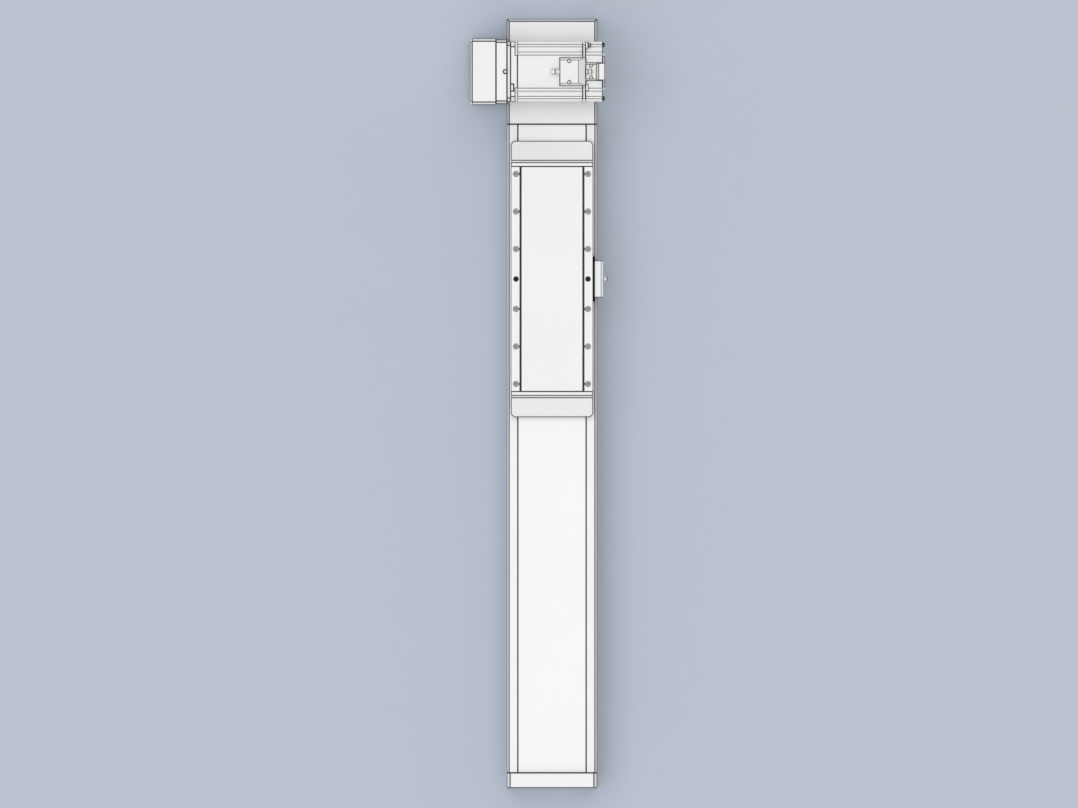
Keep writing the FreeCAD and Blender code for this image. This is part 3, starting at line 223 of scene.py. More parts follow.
def look(name, colour, rough, metal=0.0, tone=0.04, grain=900.0, stretch=(1, 1, 1), bump=0.2,
         depth=0.02, blotch=9.0, spread=0.06):
    """Surface whose colour, gloss and fine relief vary at two scales.

    The blotch and the grain are noise scales per metre, and the relief's depth is in millimetres.
    """
    blotch_detail = 3.0
    grain_detail = 2.0
    made = bpy.data.materials.new(name)
    made.use_nodes = True
    tree = made.node_tree
    shader = tree.nodes["Principled BSDF"]
    shader.inputs["Metallic"].default_value = metal
    coarse = noise(tree, blotch, (1, 1, 1), blotch_detail)
    fine = noise(tree, grain, stretch, grain_detail)
    both = average(tree, coarse, fine)
    mix = tree.nodes.new("ShaderNodeMix")
    mix.data_type = "RGBA"
    mix.inputs["A"].default_value = (*[c * (1 - tone) for c in colour], 1.0)
    mix.inputs["B"].default_value = (*[min(1.0, c * (1 + tone)) for c in colour], 1.0)
    tree.links.new(ranged(tree, both, 0.0, 1.0), mix.inputs["Factor"])
    tree.links.new(mix.outputs["Result"], shader.inputs["Base Color"])
    tree.links.new(ranged(tree, both, rough - spread, rough + spread), shader.inputs["Roughness"])
    relief = tree.nodes.new("ShaderNodeBump")
    relief.inputs["Strength"].default_value = bump
    relief.inputs["Distance"].default_value = depth * mm
    tree.links.new(fine, relief.inputs["Height"])
    tree.links.new(relief.outputs["Normal"], shader.inputs["Normal"])
    return made


# Noise scales of a grain that runs along Y
along = (40.0, 1.0, 40.0)
finishes = {
    "anodised_profile": dict(colour=(0.86, 0.865, 0.87), rough=0.52, metal=0.12, tone=0.02, grain=30.0,
                             stretch=along, bump=0.3, depth=0.03, spread=0.03),
    "magnet": dict(colour=(0.02, 0.02, 0.022), rough=0.7),
    "strip_steel": dict(colour=(0.86, 0.865, 0.87), rough=0.5, metal=0.2, tone=0.02, grain=45.0,
                        stretch=along, bump=0.3, spread=0.02),
    "machined_aluminium": dict(colour=(0.86, 0.865, 0.87), rough=0.55, metal=0.1, tone=0.02, grain=1500.0),
    "cover_panel": dict(colour=(0.87, 0.87, 0.875), rough=0.52, metal=0.05, tone=0.02, grain=45.0,
                        stretch=along, spread=0.03),
    "screw_steel": dict(colour=(0.70, 0.70, 0.71), rough=0.42, metal=0.4, tone=0.06, grain=2500.0),
    "buffer_rubber": dict(colour=(0.018, 0.018, 0.02), rough=0.75, tone=0.2, grain=1800.0, bump=0.4),
    "guide_steel": dict(colour=(0.55, 0.56, 0.57), rough=0.25, metal=0.9, tone=0.05, grain=60.0,
                        stretch=along),
    "block_plastic": dict(colour=(0.05, 0.055, 0.06), rough=0.55, tone=0.1),
    "seal_rubber": dict(colour=(0.78, 0.78, 0.79), rough=0.7, grain=3000.0, bump=0.5),
    "cap_plastic": dict(colour=(0.86, 0.86, 0.86), rough=0.5, tone=0.02, grain=2600.0, bump=0.4, depth=0.03),
    "belt_polymer": dict(colour=(0.03, 0.03, 0.033), rough=0.7, tone=0.1),
    "pulley_steel": dict(colour=(0.60, 0.61, 0.62), rough=0.35, metal=0.8),
    "shaft_steel": dict(colour=(0.55, 0.56, 0.57), rough=0.22, metal=0.9),
    "bearing_steel": dict(colour=(0.60, 0.60, 0.62), rough=0.18, metal=0.95),
    "box_paint": dict(colour=(0.87, 0.87, 0.87), rough=0.5, tone=0.02, grain=520.0, bump=0.45, depth=0.08),
    "motor_paint": dict(colour=(0.86, 0.86, 0.865), rough=0.45, tone=0.02, bump=0.35, depth=0.05),
    "rear_label_plate": dict(colour=(0.83, 0.83, 0.83), rough=0.42, tone=0.03),
    "connector_shell": dict(colour=(0.85, 0.85, 0.85), rough=0.48, tone=0.02, grain=2600.0, bump=0.35),
    "gland_metal": dict(colour=(0.72, 0.72, 0.73), rough=0.48, metal=0.3),
    "plug_plastic": dict(colour=(0.82, 0.82, 0.82), rough=0.45),
}
looks = {slot: look(slot, **finish) for slot, finish in finishes.items()}
# Painted shade: dark lines along every sharp edge and crease, standing in for the shade at edges; the noise
# only varies their tone
edge_shade_look = look("painted_edge_shade", colour=(0.035, 0.035, 0.038), rough=0.65, tone=0.35, grain=700.0, blotch=60.0)
dark_look = look("recess_shade", colour=(0.02, 0.02, 0.021), rough=0.6, metal=0.2, tone=0.2, grain=1200.0)
# Painted light: a copy of the aluminium made brighter, so that the insides of the tapped holes look lit
bore_light_look = look("bore_painted_light", colour=(0.95, 0.95, 0.95), rough=0.35, tone=0.02, grain=1500.0)
floor_look = look("floor", colour=(0.50, 0.55, 0.64), rough=0.9, tone=0.01, grain=40.0, bump=0.05)


# Outlines and solids
def place(axis, station, a, b):
    """Point (a, b) of a section across an axis, in metres: (y, z), (x, z) or (x, y)."""
    spots = {"x": (station, a, b), "y": (a, station, b), "z": (a, b, station)}
    return Vector(spots[axis]) * mm


def outline(corners):
    """Corners (a, b) or (a, b, radius), with an arc in place of each rounded corner."""
    points = []
    for index, corner in enumerate(corners):
        here = Vector(corner[:2])
        radius = corner[2] if len(corner) > 2 else 0.0
        if radius <= 0:
            points.append(here)
            continue
        back = (Vector(corners[index - 1][:2]) - here).normalized()
        ahead = (Vector(corners[(index + 1) % len(corners)][:2]) - here).normalized()
        half = back.angle(ahead) / 2
        centre = here + (back + ahead).normalized() * (radius / math.sin(half))
        start = here + back * (radius / math.tan(half)) - centre
        end = here + ahead * (radius / math.tan(half)) - centre
        first = math.atan2(start.y, start.x)
        sweep = (math.atan2(end.y, end.x) - first + math.pi) % (2 * math.pi) - math.pi
        for step in range(corner_steps + 1):
            turn = first + sweep * step / corner_steps
            points.append(centre + Vector((math.cos(turn), math.sin(turn))) * radius)
    return points


def ring(corners, axis, station):
    return [place(axis, station, *point) for point in outline(corners)]


def circle(axis, station, a, b, radius, count=round_sides, flats=0.0, knurl=0.0):
    """Round ring of points, or a hexagon with this width across its flats."""
    sixth = math.pi / 3
    points = []
    for index in range(count):
        turn = 2 * math.pi * index / count
        reach = radius * (1 + knurl * (-1) ** index)
        if flats:
            part = (turn + sixth / 2) % sixth - sixth / 2
            reach = flats / 2 / math.cos(part)
        points.append(place(axis, station, a + reach * math.cos(turn), b + reach * math.sin(turn)))
    return points


def loft(bm, rings, closed=False):
    """Solid through rings of equally many points, capped at its ends or closed on itself."""
    loops = [[bm.verts.new(point) for point in points] for points in rings]
    faces = []
    pairs = list(zip(loops, loops[1:]))
    if closed:
        pairs.append((loops[-1], loops[0]))
    else:
        faces += [bm.faces.new(loops[0]), bm.faces.new(loops[-1])]
    for lower, upper in pairs:
        for index in range(len(lower)):
            following = (index + 1) % len(lower)
            faces.append(bm.faces.new((lower[index], lower[following], upper[following], upper[index])))
    bmesh.ops.recalc_face_normals(bm, faces=faces)


def prism(bm, corners, axis, start, end):
    loft(bm, [ring(corners, axis, start), ring(corners, axis, end)])


def block(bm, x0, x1, y0, y1, z0, z1):
    prism(bm, [(x0, y0), (x1, y0), (x1, y1), (x0, y1)], "z", z0, z1)


def turned(bm, axis, a, b, profile, count=round_sides, closed=False):
    """Solid of revolution through (station, radius) points."""
    loft(bm, [circle(axis, station, a, b, radius, count) for station, radius in profile], closed)


def mirrored(corners):
    """Corners of one half of a section with their mirror image across a = 0."""
    other = [(-corner[0],) + tuple(corner[1:]) for corner in reversed(corners)]
    return list(corners) + other


def screw(bm, axis, seat, outward, a, b, diameter, height, bevel=0.5):
    """Socket-head screw on a seat, with a knurled side and a hexagon socket."""
    knurl = 0.012
    mouth = 1.12
    mouth_depth = 0.25
    socket_share = 0.6
    radius = diameter / 2
    flats = diameter / 2
    top = seat + outward * height
    floor = top - outward * height * socket_share
    rings = [
        circle(axis, seat, a, b, radius, few_sides, knurl=knurl),
        circle(axis, top - outward * bevel, a, b, radius, few_sides, knurl=knurl),
        circle(axis, top, a, b, radius - bevel, few_sides),
        circle(axis, top, a, b, radius, few_sides, flats=flats * mouth),
        circle(axis, top - outward * mouth_depth, a, b, radius, few_sides, flats=flats),
        circle(axis, floor, a, b, radius, few_sides, flats=flats),
    ]
    loft(bm, rings)


def temporary(bm):
    mesh = bpy.data.meshes.new("temporary")
    bm.to_mesh(mesh)
    bm.free()
    made = bpy.data.objects.new("temporary", mesh)
    bpy.context.scene.collection.objects.link(made)
    return made


def carved(solid, cutter):
    """The solid with the cutter taken out of it."""
    target = temporary(solid)
    tool = temporary(cutter)
    cut = target.modifiers.new("cut", "BOOLEAN")
    cut.operation = "DIFFERENCE"
    cut.solver = "EXACT"
    cut.use_self = True
    cut.object = tool
    bpy.context.view_layer.update()
    mesh = bpy.data.meshes.new_from_object(target.evaluated_get(bpy.context.evaluated_depsgraph_get()))
    result = bmesh.new()
    result.from_mesh(mesh)
    for thing in (target, tool):
        data = thing.data
        bpy.data.objects.remove(thing)
        bpy.data.meshes.remove(data)
    bpy.data.meshes.remove(mesh)
    return cleaned(result)


def cleaned(bm):
    """The mesh with its doubled points joined and its flat stretches as whole faces."""
    bmesh.ops.remove_doubles(bm, verts=bm.verts, dist=weld_metres)
    bmesh.ops.dissolve_limit(bm, angle_limit=flat_angle, verts=bm.verts, edges=bm.edges)
    for face in bm.faces:
        face.material_index = 0
    return bm


def node_mesh(node):
    bm = bmesh.new()
    bm.from_mesh(frame["nodes"][node].data)
    return bm


def skin(node):
    """Copy of a CAD node's mesh, with whole faces in place of triangles."""
    return cleaned(node_mesh(node))


# Pieces
def islands(bm):
    """Groups of faces that hang together."""
    left = set(bm.faces)
    groups = []
    while left:
        group = [left.pop()]
        for face in group:
            for edge in face.edges:
                for other in edge.link_faces:
                    if other in left:
                        left.remove(other)
                        group.append(other)
        groups.append(group)
    return groups


def inset_or_darken(groups, width):
    """Faces wide enough to take lines of this width; the narrowest take the painted edge shade whole
    instead.
    """
    least_breadth = 2.4 * width * mm
    dark_breadth = 1.1 * width * mm
    wide = []
    for group in groups:
        rim = sum(edge.calc_length() for face in group for edge in face.edges if edge.is_boundary)
        breadth = 2 * sum(face.calc_area() for face in group) / rim if rim else 0.0
        if breadth > least_breadth:
            wide += group
        elif rim and breadth < dark_breadth:
            for face in group:
                face.material_index = 1
    return wide


def lined(bm, width):
    """Add a dark line of painted shade, of this width, along both sides of each sharp edge of a mesh."""
    low = [min(vert.co[axis] for vert in bm.verts) for axis in range(3)]
    high = [max(vert.co[axis] for vert in bm.verts) for axis in range(3)]
    sharp = [edge for edge in bm.edges
             if len(edge.link_faces) == 2 and edge.calc_face_angle(0.0) > sharp_angle]
    bmesh.ops.split_edges(bm, edges=sharp)
    wide = inset_or_darken(islands(bm), width)
    rims = bmesh.ops.inset_region(bm, faces=wide, thickness=width * mm, use_boundary=True,
                                  use_even_offset=True)
    longest = 2.7 * width * mm
    for face in rims["faces"]:
        face.material_index = 1
        for edge in face.edges:
            outer, inner = sorted(edge.verts, key=lambda vert: not vert.is_boundary)
            step = inner.co - outer.co
            if outer.is_boundary and not inner.is_boundary and step.length > longest:
                inner.co = outer.co + step * (longest / step.length)
    for vert in bm.verts:
        vert.co = Vector([min(max(value, low[axis]), high[axis]) for axis, value in enumerate(vert.co)])
    bmesh.ops.remove_doubles(bm, verts=bm.verts, dist=weld_metres)
    bmesh.ops.dissolve_degenerate(bm, dist=weld_metres, edges=bm.edges)


def link_piece(name, bm, materials):
    """Object of a mesh, smooth up to its sharp edges."""
    mesh = bpy.data.meshes.new(name)
    bm.to_mesh(mesh)
    bm.free()
    piece = bpy.data.objects.new(name, mesh)
    bpy.context.scene.collection.objects.link(piece)
    for material in materials:
        mesh.materials.append(material)
    for face in mesh.polygons:
        face.use_smooth = True
    mesh.set_sharp_from_angle(angle=sharp_angle)
    return piece


def add(name, bm, body, slot, nodes=(), width=0.0):
    """Piece that rides on a body, takes a slot's finish and stands for CAD nodes."""
    materials = [looks[slot]]
    if width:
        materials.append(edge_shade_look)
        lined(bm, width)
    piece = link_piece(name, bm, materials)
    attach(piece, body)
    if nodes:
        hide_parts(*nodes)


def dress(node, width, bm=None):
    """Piece with dark lines of painted shade along its edges that stands for one CAD node."""
    add(node + "_shell", bm or skin(node), body_of[node], slot_of[node], [node], width)


def trim(name, bm, body, material=dark_look):
    """Small extra piece without a CAD node, such as a joint line, a lining, and rings and strips of painted
    shade; dark unless told otherwise.
    """
    piece = link_piece(name, bm, [material])
    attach(piece, body)


def stretch_along(name, bm, slot, node):
    """Piece in place of part of a node, fixed where it lies at rest."""
    piece = link_piece(name, bm, [looks[slot]])
    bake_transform(piece)
    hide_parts(node)


# Frame
def tail_screw_places():
    """Places (x, z) of the corner screws and of the tensioning screws in the tail plate."""
    low_x = 44.0
    reach = end_head / 2
    screws = span("tail_screws")
    pulls = span("tension_screws")
    corners = [(side * (screws.x1 - reach), screws.z1 - reach) for side in (-1, 1)]
    corners += [(side * low_x, screws.z0 + reach) for side in (-1, 1)]
    tensioners = [(side * (pulls.x1 - reach), (pulls.z0 + pulls.z1) / 2) for side in (-1, 1)]
    return corners, tensioners


def build_body():
    """Profile, and the end plate with six screws, two of them long ones that tighten the belt."""
    rim = 0.5
    flare = 0.5
    shank = 2.5
    shank_sides = 20
    seat = span("tail_screws").y1
    corners, tensioners = tail_screw_places()
    dress("body_extrusion", fine_edge)
    cutter = bmesh.new()
    heads = bmesh.new()
    for x, z in corners + tensioners:
        turned(cutter, "y", x, z, [
            (tail.y0 - past, end_bore + flare), (tail.y0 + rim, end_bore), (seat, end_bore)])
        screw(heads, "y", seat, -1, x, z, end_head, end_head_height)
    dress("tail_block", panel_edge, carved(skin("tail_block"), cutter))
    add("tail_screw_heads", heads, "base", "screw_steel", ["tail_screws"])
    shanks = bmesh.new()
    for x, z in tensioners:
        turned(shanks, "y", x, z, [(seat, shank), (span("tension_screws").y1, shank)], shank_sides)
    add("tension_screw_shanks", shanks, "base", "screw_steel", ["tension_screws"])


def build_head():
    """Head with a round recess for the bearing cap and four screws in its end face."""
    recess = 30.2
    recess_rim = 0.6
    recess_flare = 1.2
    screw_x = 46.0
    screw_rows = (12.0, 68.0)
    screw_depth = 6.0
    screw_rim = 0.5
    flare = 1.0
    cap = span("bearing_cap")
    seat = head.y1 - screw_depth
    cutter = bmesh.new()
    opening = [(cap.x0, recess), (head.x1 - recess_rim, recess), (head.x1 + past, recess + recess_flare)]
    turned(cutter, "x", drive_y, drive_z, opening, many_sides)
    screws = bmesh.new()
    for x in (-screw_x, screw_x):
        for z in screw_rows:
            turned(cutter, "y", x, z, [
                (seat, end_bore), (head.y1 - screw_rim, end_bore), (head.y1 + past, end_bore + flare)])
            screw(screws, "y", seat, 1, x, z, end_head, end_head_height)
    dress("head_housing", panel_edge, carved(skin("head_housing"), cutter))
    add("head_screws", screws, "base", "screw_steel")
    dress("head_cover", panel_edge)
    build_bearing_cap(cap)


def build_bearing_cap(cap):
    """Round cap with a shallow dish and four countersunk screws."""
    radius = 29.9
    bevel = 0.5
    setback = 0.3
    dish = 17.0
    dish_depth = 1.2
    dish_slope = 1.0
    middle = 2.0
    screw_circle = 23.5
    bore = 2.9
    bore_depth = 3.2
    screw_head = 5.4
    screw_height = 2.8
    face = cap.x1 - setback
    disc = bmesh.new()
    turned(disc, "x", drive_y, drive_z, [
        (cap.x0, radius), (face - bevel, radius), (face, radius - bevel), (face, dish),
        (face - dish_depth, dish - dish_slope), (face - dish_depth, middle)], many_sides)
    cutter = bmesh.new()
    screws = bmesh.new()
    for quarter in range(4):
        turn = math.pi / 4 + quarter * math.pi / 2
        y = drive_y + screw_circle * math.cos(turn)
        z = drive_z + screw_circle * math.sin(turn)
        turned(cutter, "x", y, z, [(face - bore_depth, bore), (face + past, bore)])
        screw(screws, "x", face - bore_depth, 1, y, z, screw_head, screw_height, small_bevel)
    add("bearing_cap_disc", carved(disc, cutter), "base", "machined_aluminium", ["bearing_cap"], fine_edge)
    add("bearing_cap_screws", screws, "base", "screw_steel")


# Cover strip, in the three stretches that the carriage divides
def lift_height(y, start, end, low, high):
    """Height of the strip on two equal arcs between a flat at start and a flat at end."""
    run = abs(end - start)
    rise = high - low
    radius = (run * run + rise * rise) / (4 * rise)
    near = abs(y - start)
    far = abs(end - y)
    if near <= far:
        return low + radius - math.sqrt(radius * radius - near * near)
    return high - radius + math.sqrt(radius * radius - far * far)


def band(bm, half, stations, thickness):
    """Flat band through (y, lower z) stations."""
    rings = []
    for y, z in stations:
        corners = [(-half, z), (half, z), (half, z + thickness), (-half, z + thickness)]
        rings.append([place("y", y, *corner) for corner in corners])
    loft(bm, rings)


def build_strip():
    side_gap = 0.7
    thickness = 0.5
    steps = 14
    half = strip.x1 - side_gap
    low = strip.z0
    high = strip.z1 - thickness
    stations = []
    lifts = ((cap_tail.y0, table.y0, cap_tail.y0, table.y0), (table.y1, cap_head.y1, cap_head.y1, table.y1))
    for first, last, flat, lifted in lifts:
        for step in range(steps + 1):
            y = first + (last - first) * step / steps
            stations.append((y, lift_height(y, flat, lifted, low, high)))
    bm = bmesh.new()
    band(bm, half, stations, thickness)
    add("strip_lifted", bm, "carriage", "strip_steel", ["cover_strip"])
    runs = (("strip_tail", strip.y0, cap_tail.y0), ("strip_head", strip.y1, cap_head.y1))
    for name, fixed, moving in runs:
        bm = bmesh.new()
        band(bm, half, sorted([(fixed, low), (moving, low)]), thickness)
        stretch_along(name, bm, "strip_steel", "cover_strip")


# Main belt: its toothed wraps and lower run stay with the frame, its clamped ends with the
# carriage, and its two free upper runs are plain bands between them, fixed at rest
def belt_part(keep):
    """Faces of the CAD belt whose middle passes a test of (y, z)."""
    touching = 1e-7
    bm = node_mesh("drive_belt")
    for y in (idler_y, clamp_tail.y0, clamp_head.y1, drive_y):
        bmesh.ops.bisect_plane(bm, geom=bm.verts[:] + bm.edges[:] + bm.faces[:], dist=touching,
                               plane_co=(0, y * mm, 0), plane_no=(0, 1, 0))
    doomed = []
    for face in bm.faces:
        middle = face.calc_center_median() / mm
        if not keep(middle.y, middle.z):
            doomed.append(face)
    bmesh.ops.delete(bm, geom=doomed, context="FACES")
    return bm


def build_belt():
    run_rise = 15.0
    clamp_margin = 0.5
    thickness = 2.5
    upper = drive_z + run_rise

    def clamped(y, z):
        on_tail = clamp_tail.y0 < y < clamp_tail.y1 + clamp_margin
        on_head = clamp_head.y0 - clamp_margin < y < clamp_head.y1
        return z > upper and (on_tail or on_head)

    def fixed(y, z):
        return z < upper or y < idler_y or y > drive_y

    add("belt_clamped_ends", belt_part(clamped), "carriage", "belt_polymer", ["drive_belt"])
    add("belt_wraps", belt_part(fixed), "base", "belt_polymer", ["drive_belt"])
    half = (belt.x1 - belt.x0) / 2
    low = belt.z1 - thickness
    runs = (("belt_run_tail", idler_y, clamp_tail.y0), ("belt_run_head", drive_y, clamp_head.y1))
    for name, start, end in runs:
        bm = bmesh.new()
        band(bm, half, sorted([(start, low), (end, low)]), thickness)
        stretch_along(name, bm, "belt_polymer", "drive_belt")


# Carriage, with the places, radii and depths of the holes and tick marks in its table
hole_x = 48.0
hole_reach = (40.0, 90.0, 140.0)
hole_radius = 3.45
hole_depth = 14.0
dowel_radius = 3.05
dowel_depth = 8.0
lining_gap = 0.01
tick_half = 0.55
tick_depth = 1.2


def hole_rows():
    """Places along Y of the tapped holes on each side of the table."""
    return [carriage_y + side * reach for side in (-1, 1) for reach in hole_reach]


def tick_span(side, groove_gap, hole_gap):
    """Reach along X of the tick marks between a groove and the holes beside it."""
    return sorted((side * (cover.x1 + groove_gap), side * (hole_x - hole_gap)))


def build_table():
    """Table with its tapped holes, dowel holes and tick marks, and the plate between its grooves."""
    groove_gap = 1.0
    hole_gap = 2.0
    top = table.z1
    cutter = bmesh.new()
    for side in (-1, 1):
        x = side * hole_x
        near, far = tick_span(side, groove_gap, hole_gap)
        for y in hole_rows():
            turned(cutter, "z", x, y, [(top - hole_depth, hole_radius), (top + past, hole_radius)])
            block(cutter, near, far, y - tick_half, y + tick_half, top - tick_depth, top + past)
        turned(cutter, "z", x, carriage_y, [(top - dowel_depth, dowel_radius), (top + past, dowel_radius)])
    dress("carriage_table", table_edge, carved(skin("carriage_table"), cutter))
    build_hole_linings(top)
    dress("centre_cover", fine_edge)
    build_groove_shade()


def build_hole_linings(top):
    """Threads in the holes, brighter than the table as painted light; dowel bushes, dark as painted shade in
    their holes; and dark strips of painted shade in the floors of the tick marks.
    """
    thread_top = 0.35
    thread_bottom = 13.0
    bush_bore = 2.2
    bush_floor = 0.5
    bush_middle = 0.3
    bush_rise = 0.1
    tick_shade_half = tick_half - 0.02
    tick_shade_low = 1.3
    tick_shade_high = 0.3
    groove_gap = 1.2
    hole_gap = 3.8
    outer = dowel_radius - lining_gap
    floor = top - dowel_depth + bush_rise
    sleeves = bmesh.new()
    bush_shade = bmesh.new()
    tick_shade = bmesh.new()
    for side in (-1, 1):
        x = side * hole_x
        near, far = tick_span(side, groove_gap, hole_gap)
        for y in hole_rows():
            thread(sleeves, x, y, top - thread_top, top - thread_bottom)
            block(tick_shade, near, far, y - tick_shade_half, y + tick_shade_half, top - tick_shade_low, top - tick_shade_high)
        turned(bush_shade, "z", x, carriage_y, [
            (floor, outer), (top - bush_floor, outer), (top - bush_floor, bush_bore),
            (floor + bush_floor, bush_bore), (floor + bush_floor, bush_middle), (floor, bush_middle)],
            round_sides, True)
    trim("payload_threads", sleeves, "carriage", bore_light_look)
    trim("dowel_bush_shade", bush_shade, "carriage")
    trim("tick_mark_shade", tick_shade, "carriage")


def build_groove_shade():
    """Dark floors of the grooves on both sides of the centre cover."""
    inner = cover.x1 - 0.25
    outer = cover.x1 + 1.3
    end_gap = 0.1
    floor_gap = 0.05
    drop = 1.4
    bm = bmesh.new()
    for side in (-1, 1):
        near, far = sorted((side * inner, side * outer))
        block(bm, near, far, table.y0 + end_gap, table.y1 - end_gap, cover.z0 + floor_gap, cover.z1 - drop)
    trim("groove_shade", bm, "carriage")


def thread(bm, x, y, top, bottom):
    """Threaded sleeve with a closed end in a hole, as a tube with a saw-tooth inside."""
    pitch = 1.25
    root = 3.3
    crest = 2.9
    floor = 0.4
    middle = 0.05
    outer = hole_radius - lining_gap
    count = int((top - bottom) / pitch)
    profile = [(top, outer), (bottom - floor, outer), (bottom - floor, middle), (bottom, middle)]
    for turn in range(count + 1):
        level = bottom + pitch * turn
        profile.append((level, root))
        if level + pitch / 2 < top:
            profile.append((level + pitch / 2, crest))
    turned(bm, "z", x, y, profile, round_sides, True)


def build_carriage_ends():
    """Frames, seals and end caps, with two sunk screws in each cap."""
    seat_depth = 4.6
    screw_head = 7.0
    screw_height = 4.0
    bore = 3.8
    rim = 0.3
    flare = 0.8
    dress("end_frames", fine_edge)
    dress("end_seals", small_edge)
    places = span("end_cap_screws")
    x = places.x1 - screw_head / 2
    z = (places.z0 + places.z1) / 2
    screws = bmesh.new()
    for node, far, toward in (("end_cap_head", cap_head.y1, 1), ("end_cap_tail", cap_tail.y0, -1)):
        seat = far - toward * seat_depth
        cutter = bmesh.new()
        for side in (-1, 1):
            turned(cutter, "y", side * x, z, [
                (seat, bore), (far - toward * rim, bore), (far + toward * past, bore + flare)])
            screw(screws, "y", seat, toward, side * x, z, screw_head, screw_height)
        dress(node, panel_edge, carved(skin(node), cutter))
    add("end_cap_screw_heads", screws, "carriage", "screw_steel", ["end_cap_screws"])


def build_dog():
    """Bent sensor plate with rounded bends, with painted shade round its base against the table."""
    thickness = 2.0
    base_height = 14.0
    half_leg = 24.5
    inner_bend = 0.4
    outer_bend = 2.1
    overlap = 1.0
    base_x = table.x1 + thickness
    leg_z = dog.z1 - thickness
    base = bmesh.new()
    block(base, table.x1, base_x, dog.y0, dog.y1, dog.z1 - base_height, dog.z1)
    bend = [
        (base_x - overlap, leg_z), (dog.x1 - thickness, leg_z, inner_bend), (dog.x1 - thickness, dog.z0),
        (dog.x1, dog.z0), (dog.x1, dog.z1, outer_bend), (base_x - overlap, dog.z1),
    ]
    leg = bmesh.new()
    prism(leg, bend, "y", carriage_y - half_leg, carriage_y + half_leg)
    add("dog_base", base, "carriage", "machined_aluminium", ["sensor_dog"], small_edge)
    add("dog_leg", leg, "carriage", "machined_aluminium", ["sensor_dog"], fine_edge)
    build_dog_shade(base_x, base_height, half_leg)
    build_dog_screws(base_x, leg_z)


def build_dog_shade(base_x, base_height, half_leg):
    """Dark block of painted shade round the base of the sensor plate, and a dark line of painted shade along
    its bend.
    """
    inset = 0.1
    stand = 0.5
    lift = 0.2
    line_start = 3.0
    line_end = 2.2
    line_depth = 1.0
    base_shade = bmesh.new()
    block(base_shade, table.x1 + inset, base_x + stand, dog.y0 + inset, dog.y1 - inset,
          dog.z1 - base_height + lift, dog.z1)
    block(base_shade, dog.x1 - line_start, dog.x1 - line_end, carriage_y - half_leg + inset,
          carriage_y + half_leg - inset, dog.z1 - line_depth, dog.z1 + joint_proud)
    trim("dog_base_shade", base_shade, "carriage")


def build_dog_screws(base_x, leg_z):
    """Two screws in the base of the sensor plate, and the button on its leg with a dark ring of painted
    shade round it.
    """
    screw_head = 5.5
    screw_height = 2.0
    screw_spread = 22.0
    screw_drop = 6.0
    stand = 0.5
    button = 7.0
    button_bevel = 1.0
    button_drop = 8.0
    line = 0.55
    shade_collar_inner = 3.4
    shade_collar_outer = 3.49
    shade_collar_start = dog.x1 + 1.0
    collar_end = dog.x1 + 1.9
    heads = bmesh.new()
    for y in (carriage_y - screw_spread, carriage_y + screw_spread):
        screw(heads, "x", base_x + stand, 1, y, leg_z - screw_drop, screw_head, screw_height, small_bevel)
    screw(heads, "x", dog.x1, 1, carriage_y, leg_z - button_drop, button, span("dog_screws").x1 - dog.x1,
          button_bevel)
    add("dog_screw_heads", heads, "carriage", "screw_steel", ["dog_screws"], line)
    # Dark ring of painted shade round the button
    collar = bmesh.new()
    turned(collar, "x", carriage_y, leg_z - button_drop, [
        (shade_collar_start, shade_collar_inner), (collar_end, shade_collar_inner), (collar_end, shade_collar_outer),
        (shade_collar_start, shade_collar_outer)], few_sides, True)
    trim("dog_button_shade", collar, "carriage")


# Side belt box
def build_side_belt():
    """Side belt, smooth round both pulleys, so that their teeth pass it in every pose."""
    thickness = 1.9
    bm = node_mesh("side_belt")
    loop = span("side_belt")
    for axis_z, back in ((drive_z, drive_z - loop.z0), (motor_z, loop.z1 - motor_z)):
        land = back - thickness
        for vert in bm.verts:
            arm = Vector((vert.co.y / mm - drive_y, vert.co.z / mm - axis_z))
            if arm.length < land:
                arm *= land / arm.length
                vert.co.y = (drive_y + arm.x) * mm
                vert.co.z = (axis_z + arm.y) * mm
    add("side_belt_loop", bm, "base", "belt_polymer", ["side_belt"])


def build_side_box():
    """Box of the side belt, with six sunk screws in its cover."""
    inset = 9.0
    bore = 3.0
    flare = 1.3
    rim = 0.3
    seat_depth = 2.4
    screw_head = 5.6
    screw_height = 2.1
    face = box_cover.x0
    rows = (box_cover.z0 + inset, (box_cover.z0 + box_cover.z1) / 2, box_cover.z1 - inset)
    cutter = bmesh.new()
    screws = bmesh.new()
    for y in (box_cover.y0 + inset, box_cover.y1 - inset):
        for z in rows:
            turned(cutter, "x", y, z, [
                (face - past, bore + flare), (face + rim, bore), (face + seat_depth, bore)])
            screw(screws, "x", face + seat_depth, -1, y, z, screw_head, screw_height, small_bevel)
    dress("side_box_cover", panel_edge, carved(skin("side_box_cover"), cutter))
    add("side_cover_screws", screws, "base", "screw_steel")
    dress("side_box_base", panel_edge)
    build_tension_screw()


def build_tension_screw():
    """Screw on top of the side box, on a dark ring of painted shade."""
    screw_head = 3.8
    shade_ring = 3.45
    shade_ring_half = 0.3
    knob = span("tension_screw")
    x = (knob.x0 + knob.x1) / 2
    seat = knob.z0 + shade_ring_half
    bm = bmesh.new()
    screw(bm, "z", seat, 1, x, drive_y, screw_head, knob.z1 - seat)
    add("tension_screw_head", bm, "base", "screw_steel", ["tension_screw"])
    bm = bmesh.new()
    turned(bm, "z", x, drive_y, [(knob.z0 - shade_ring_half, shade_ring), (seat, shade_ring)])
    trim("tension_shade_ring", bm, "base")


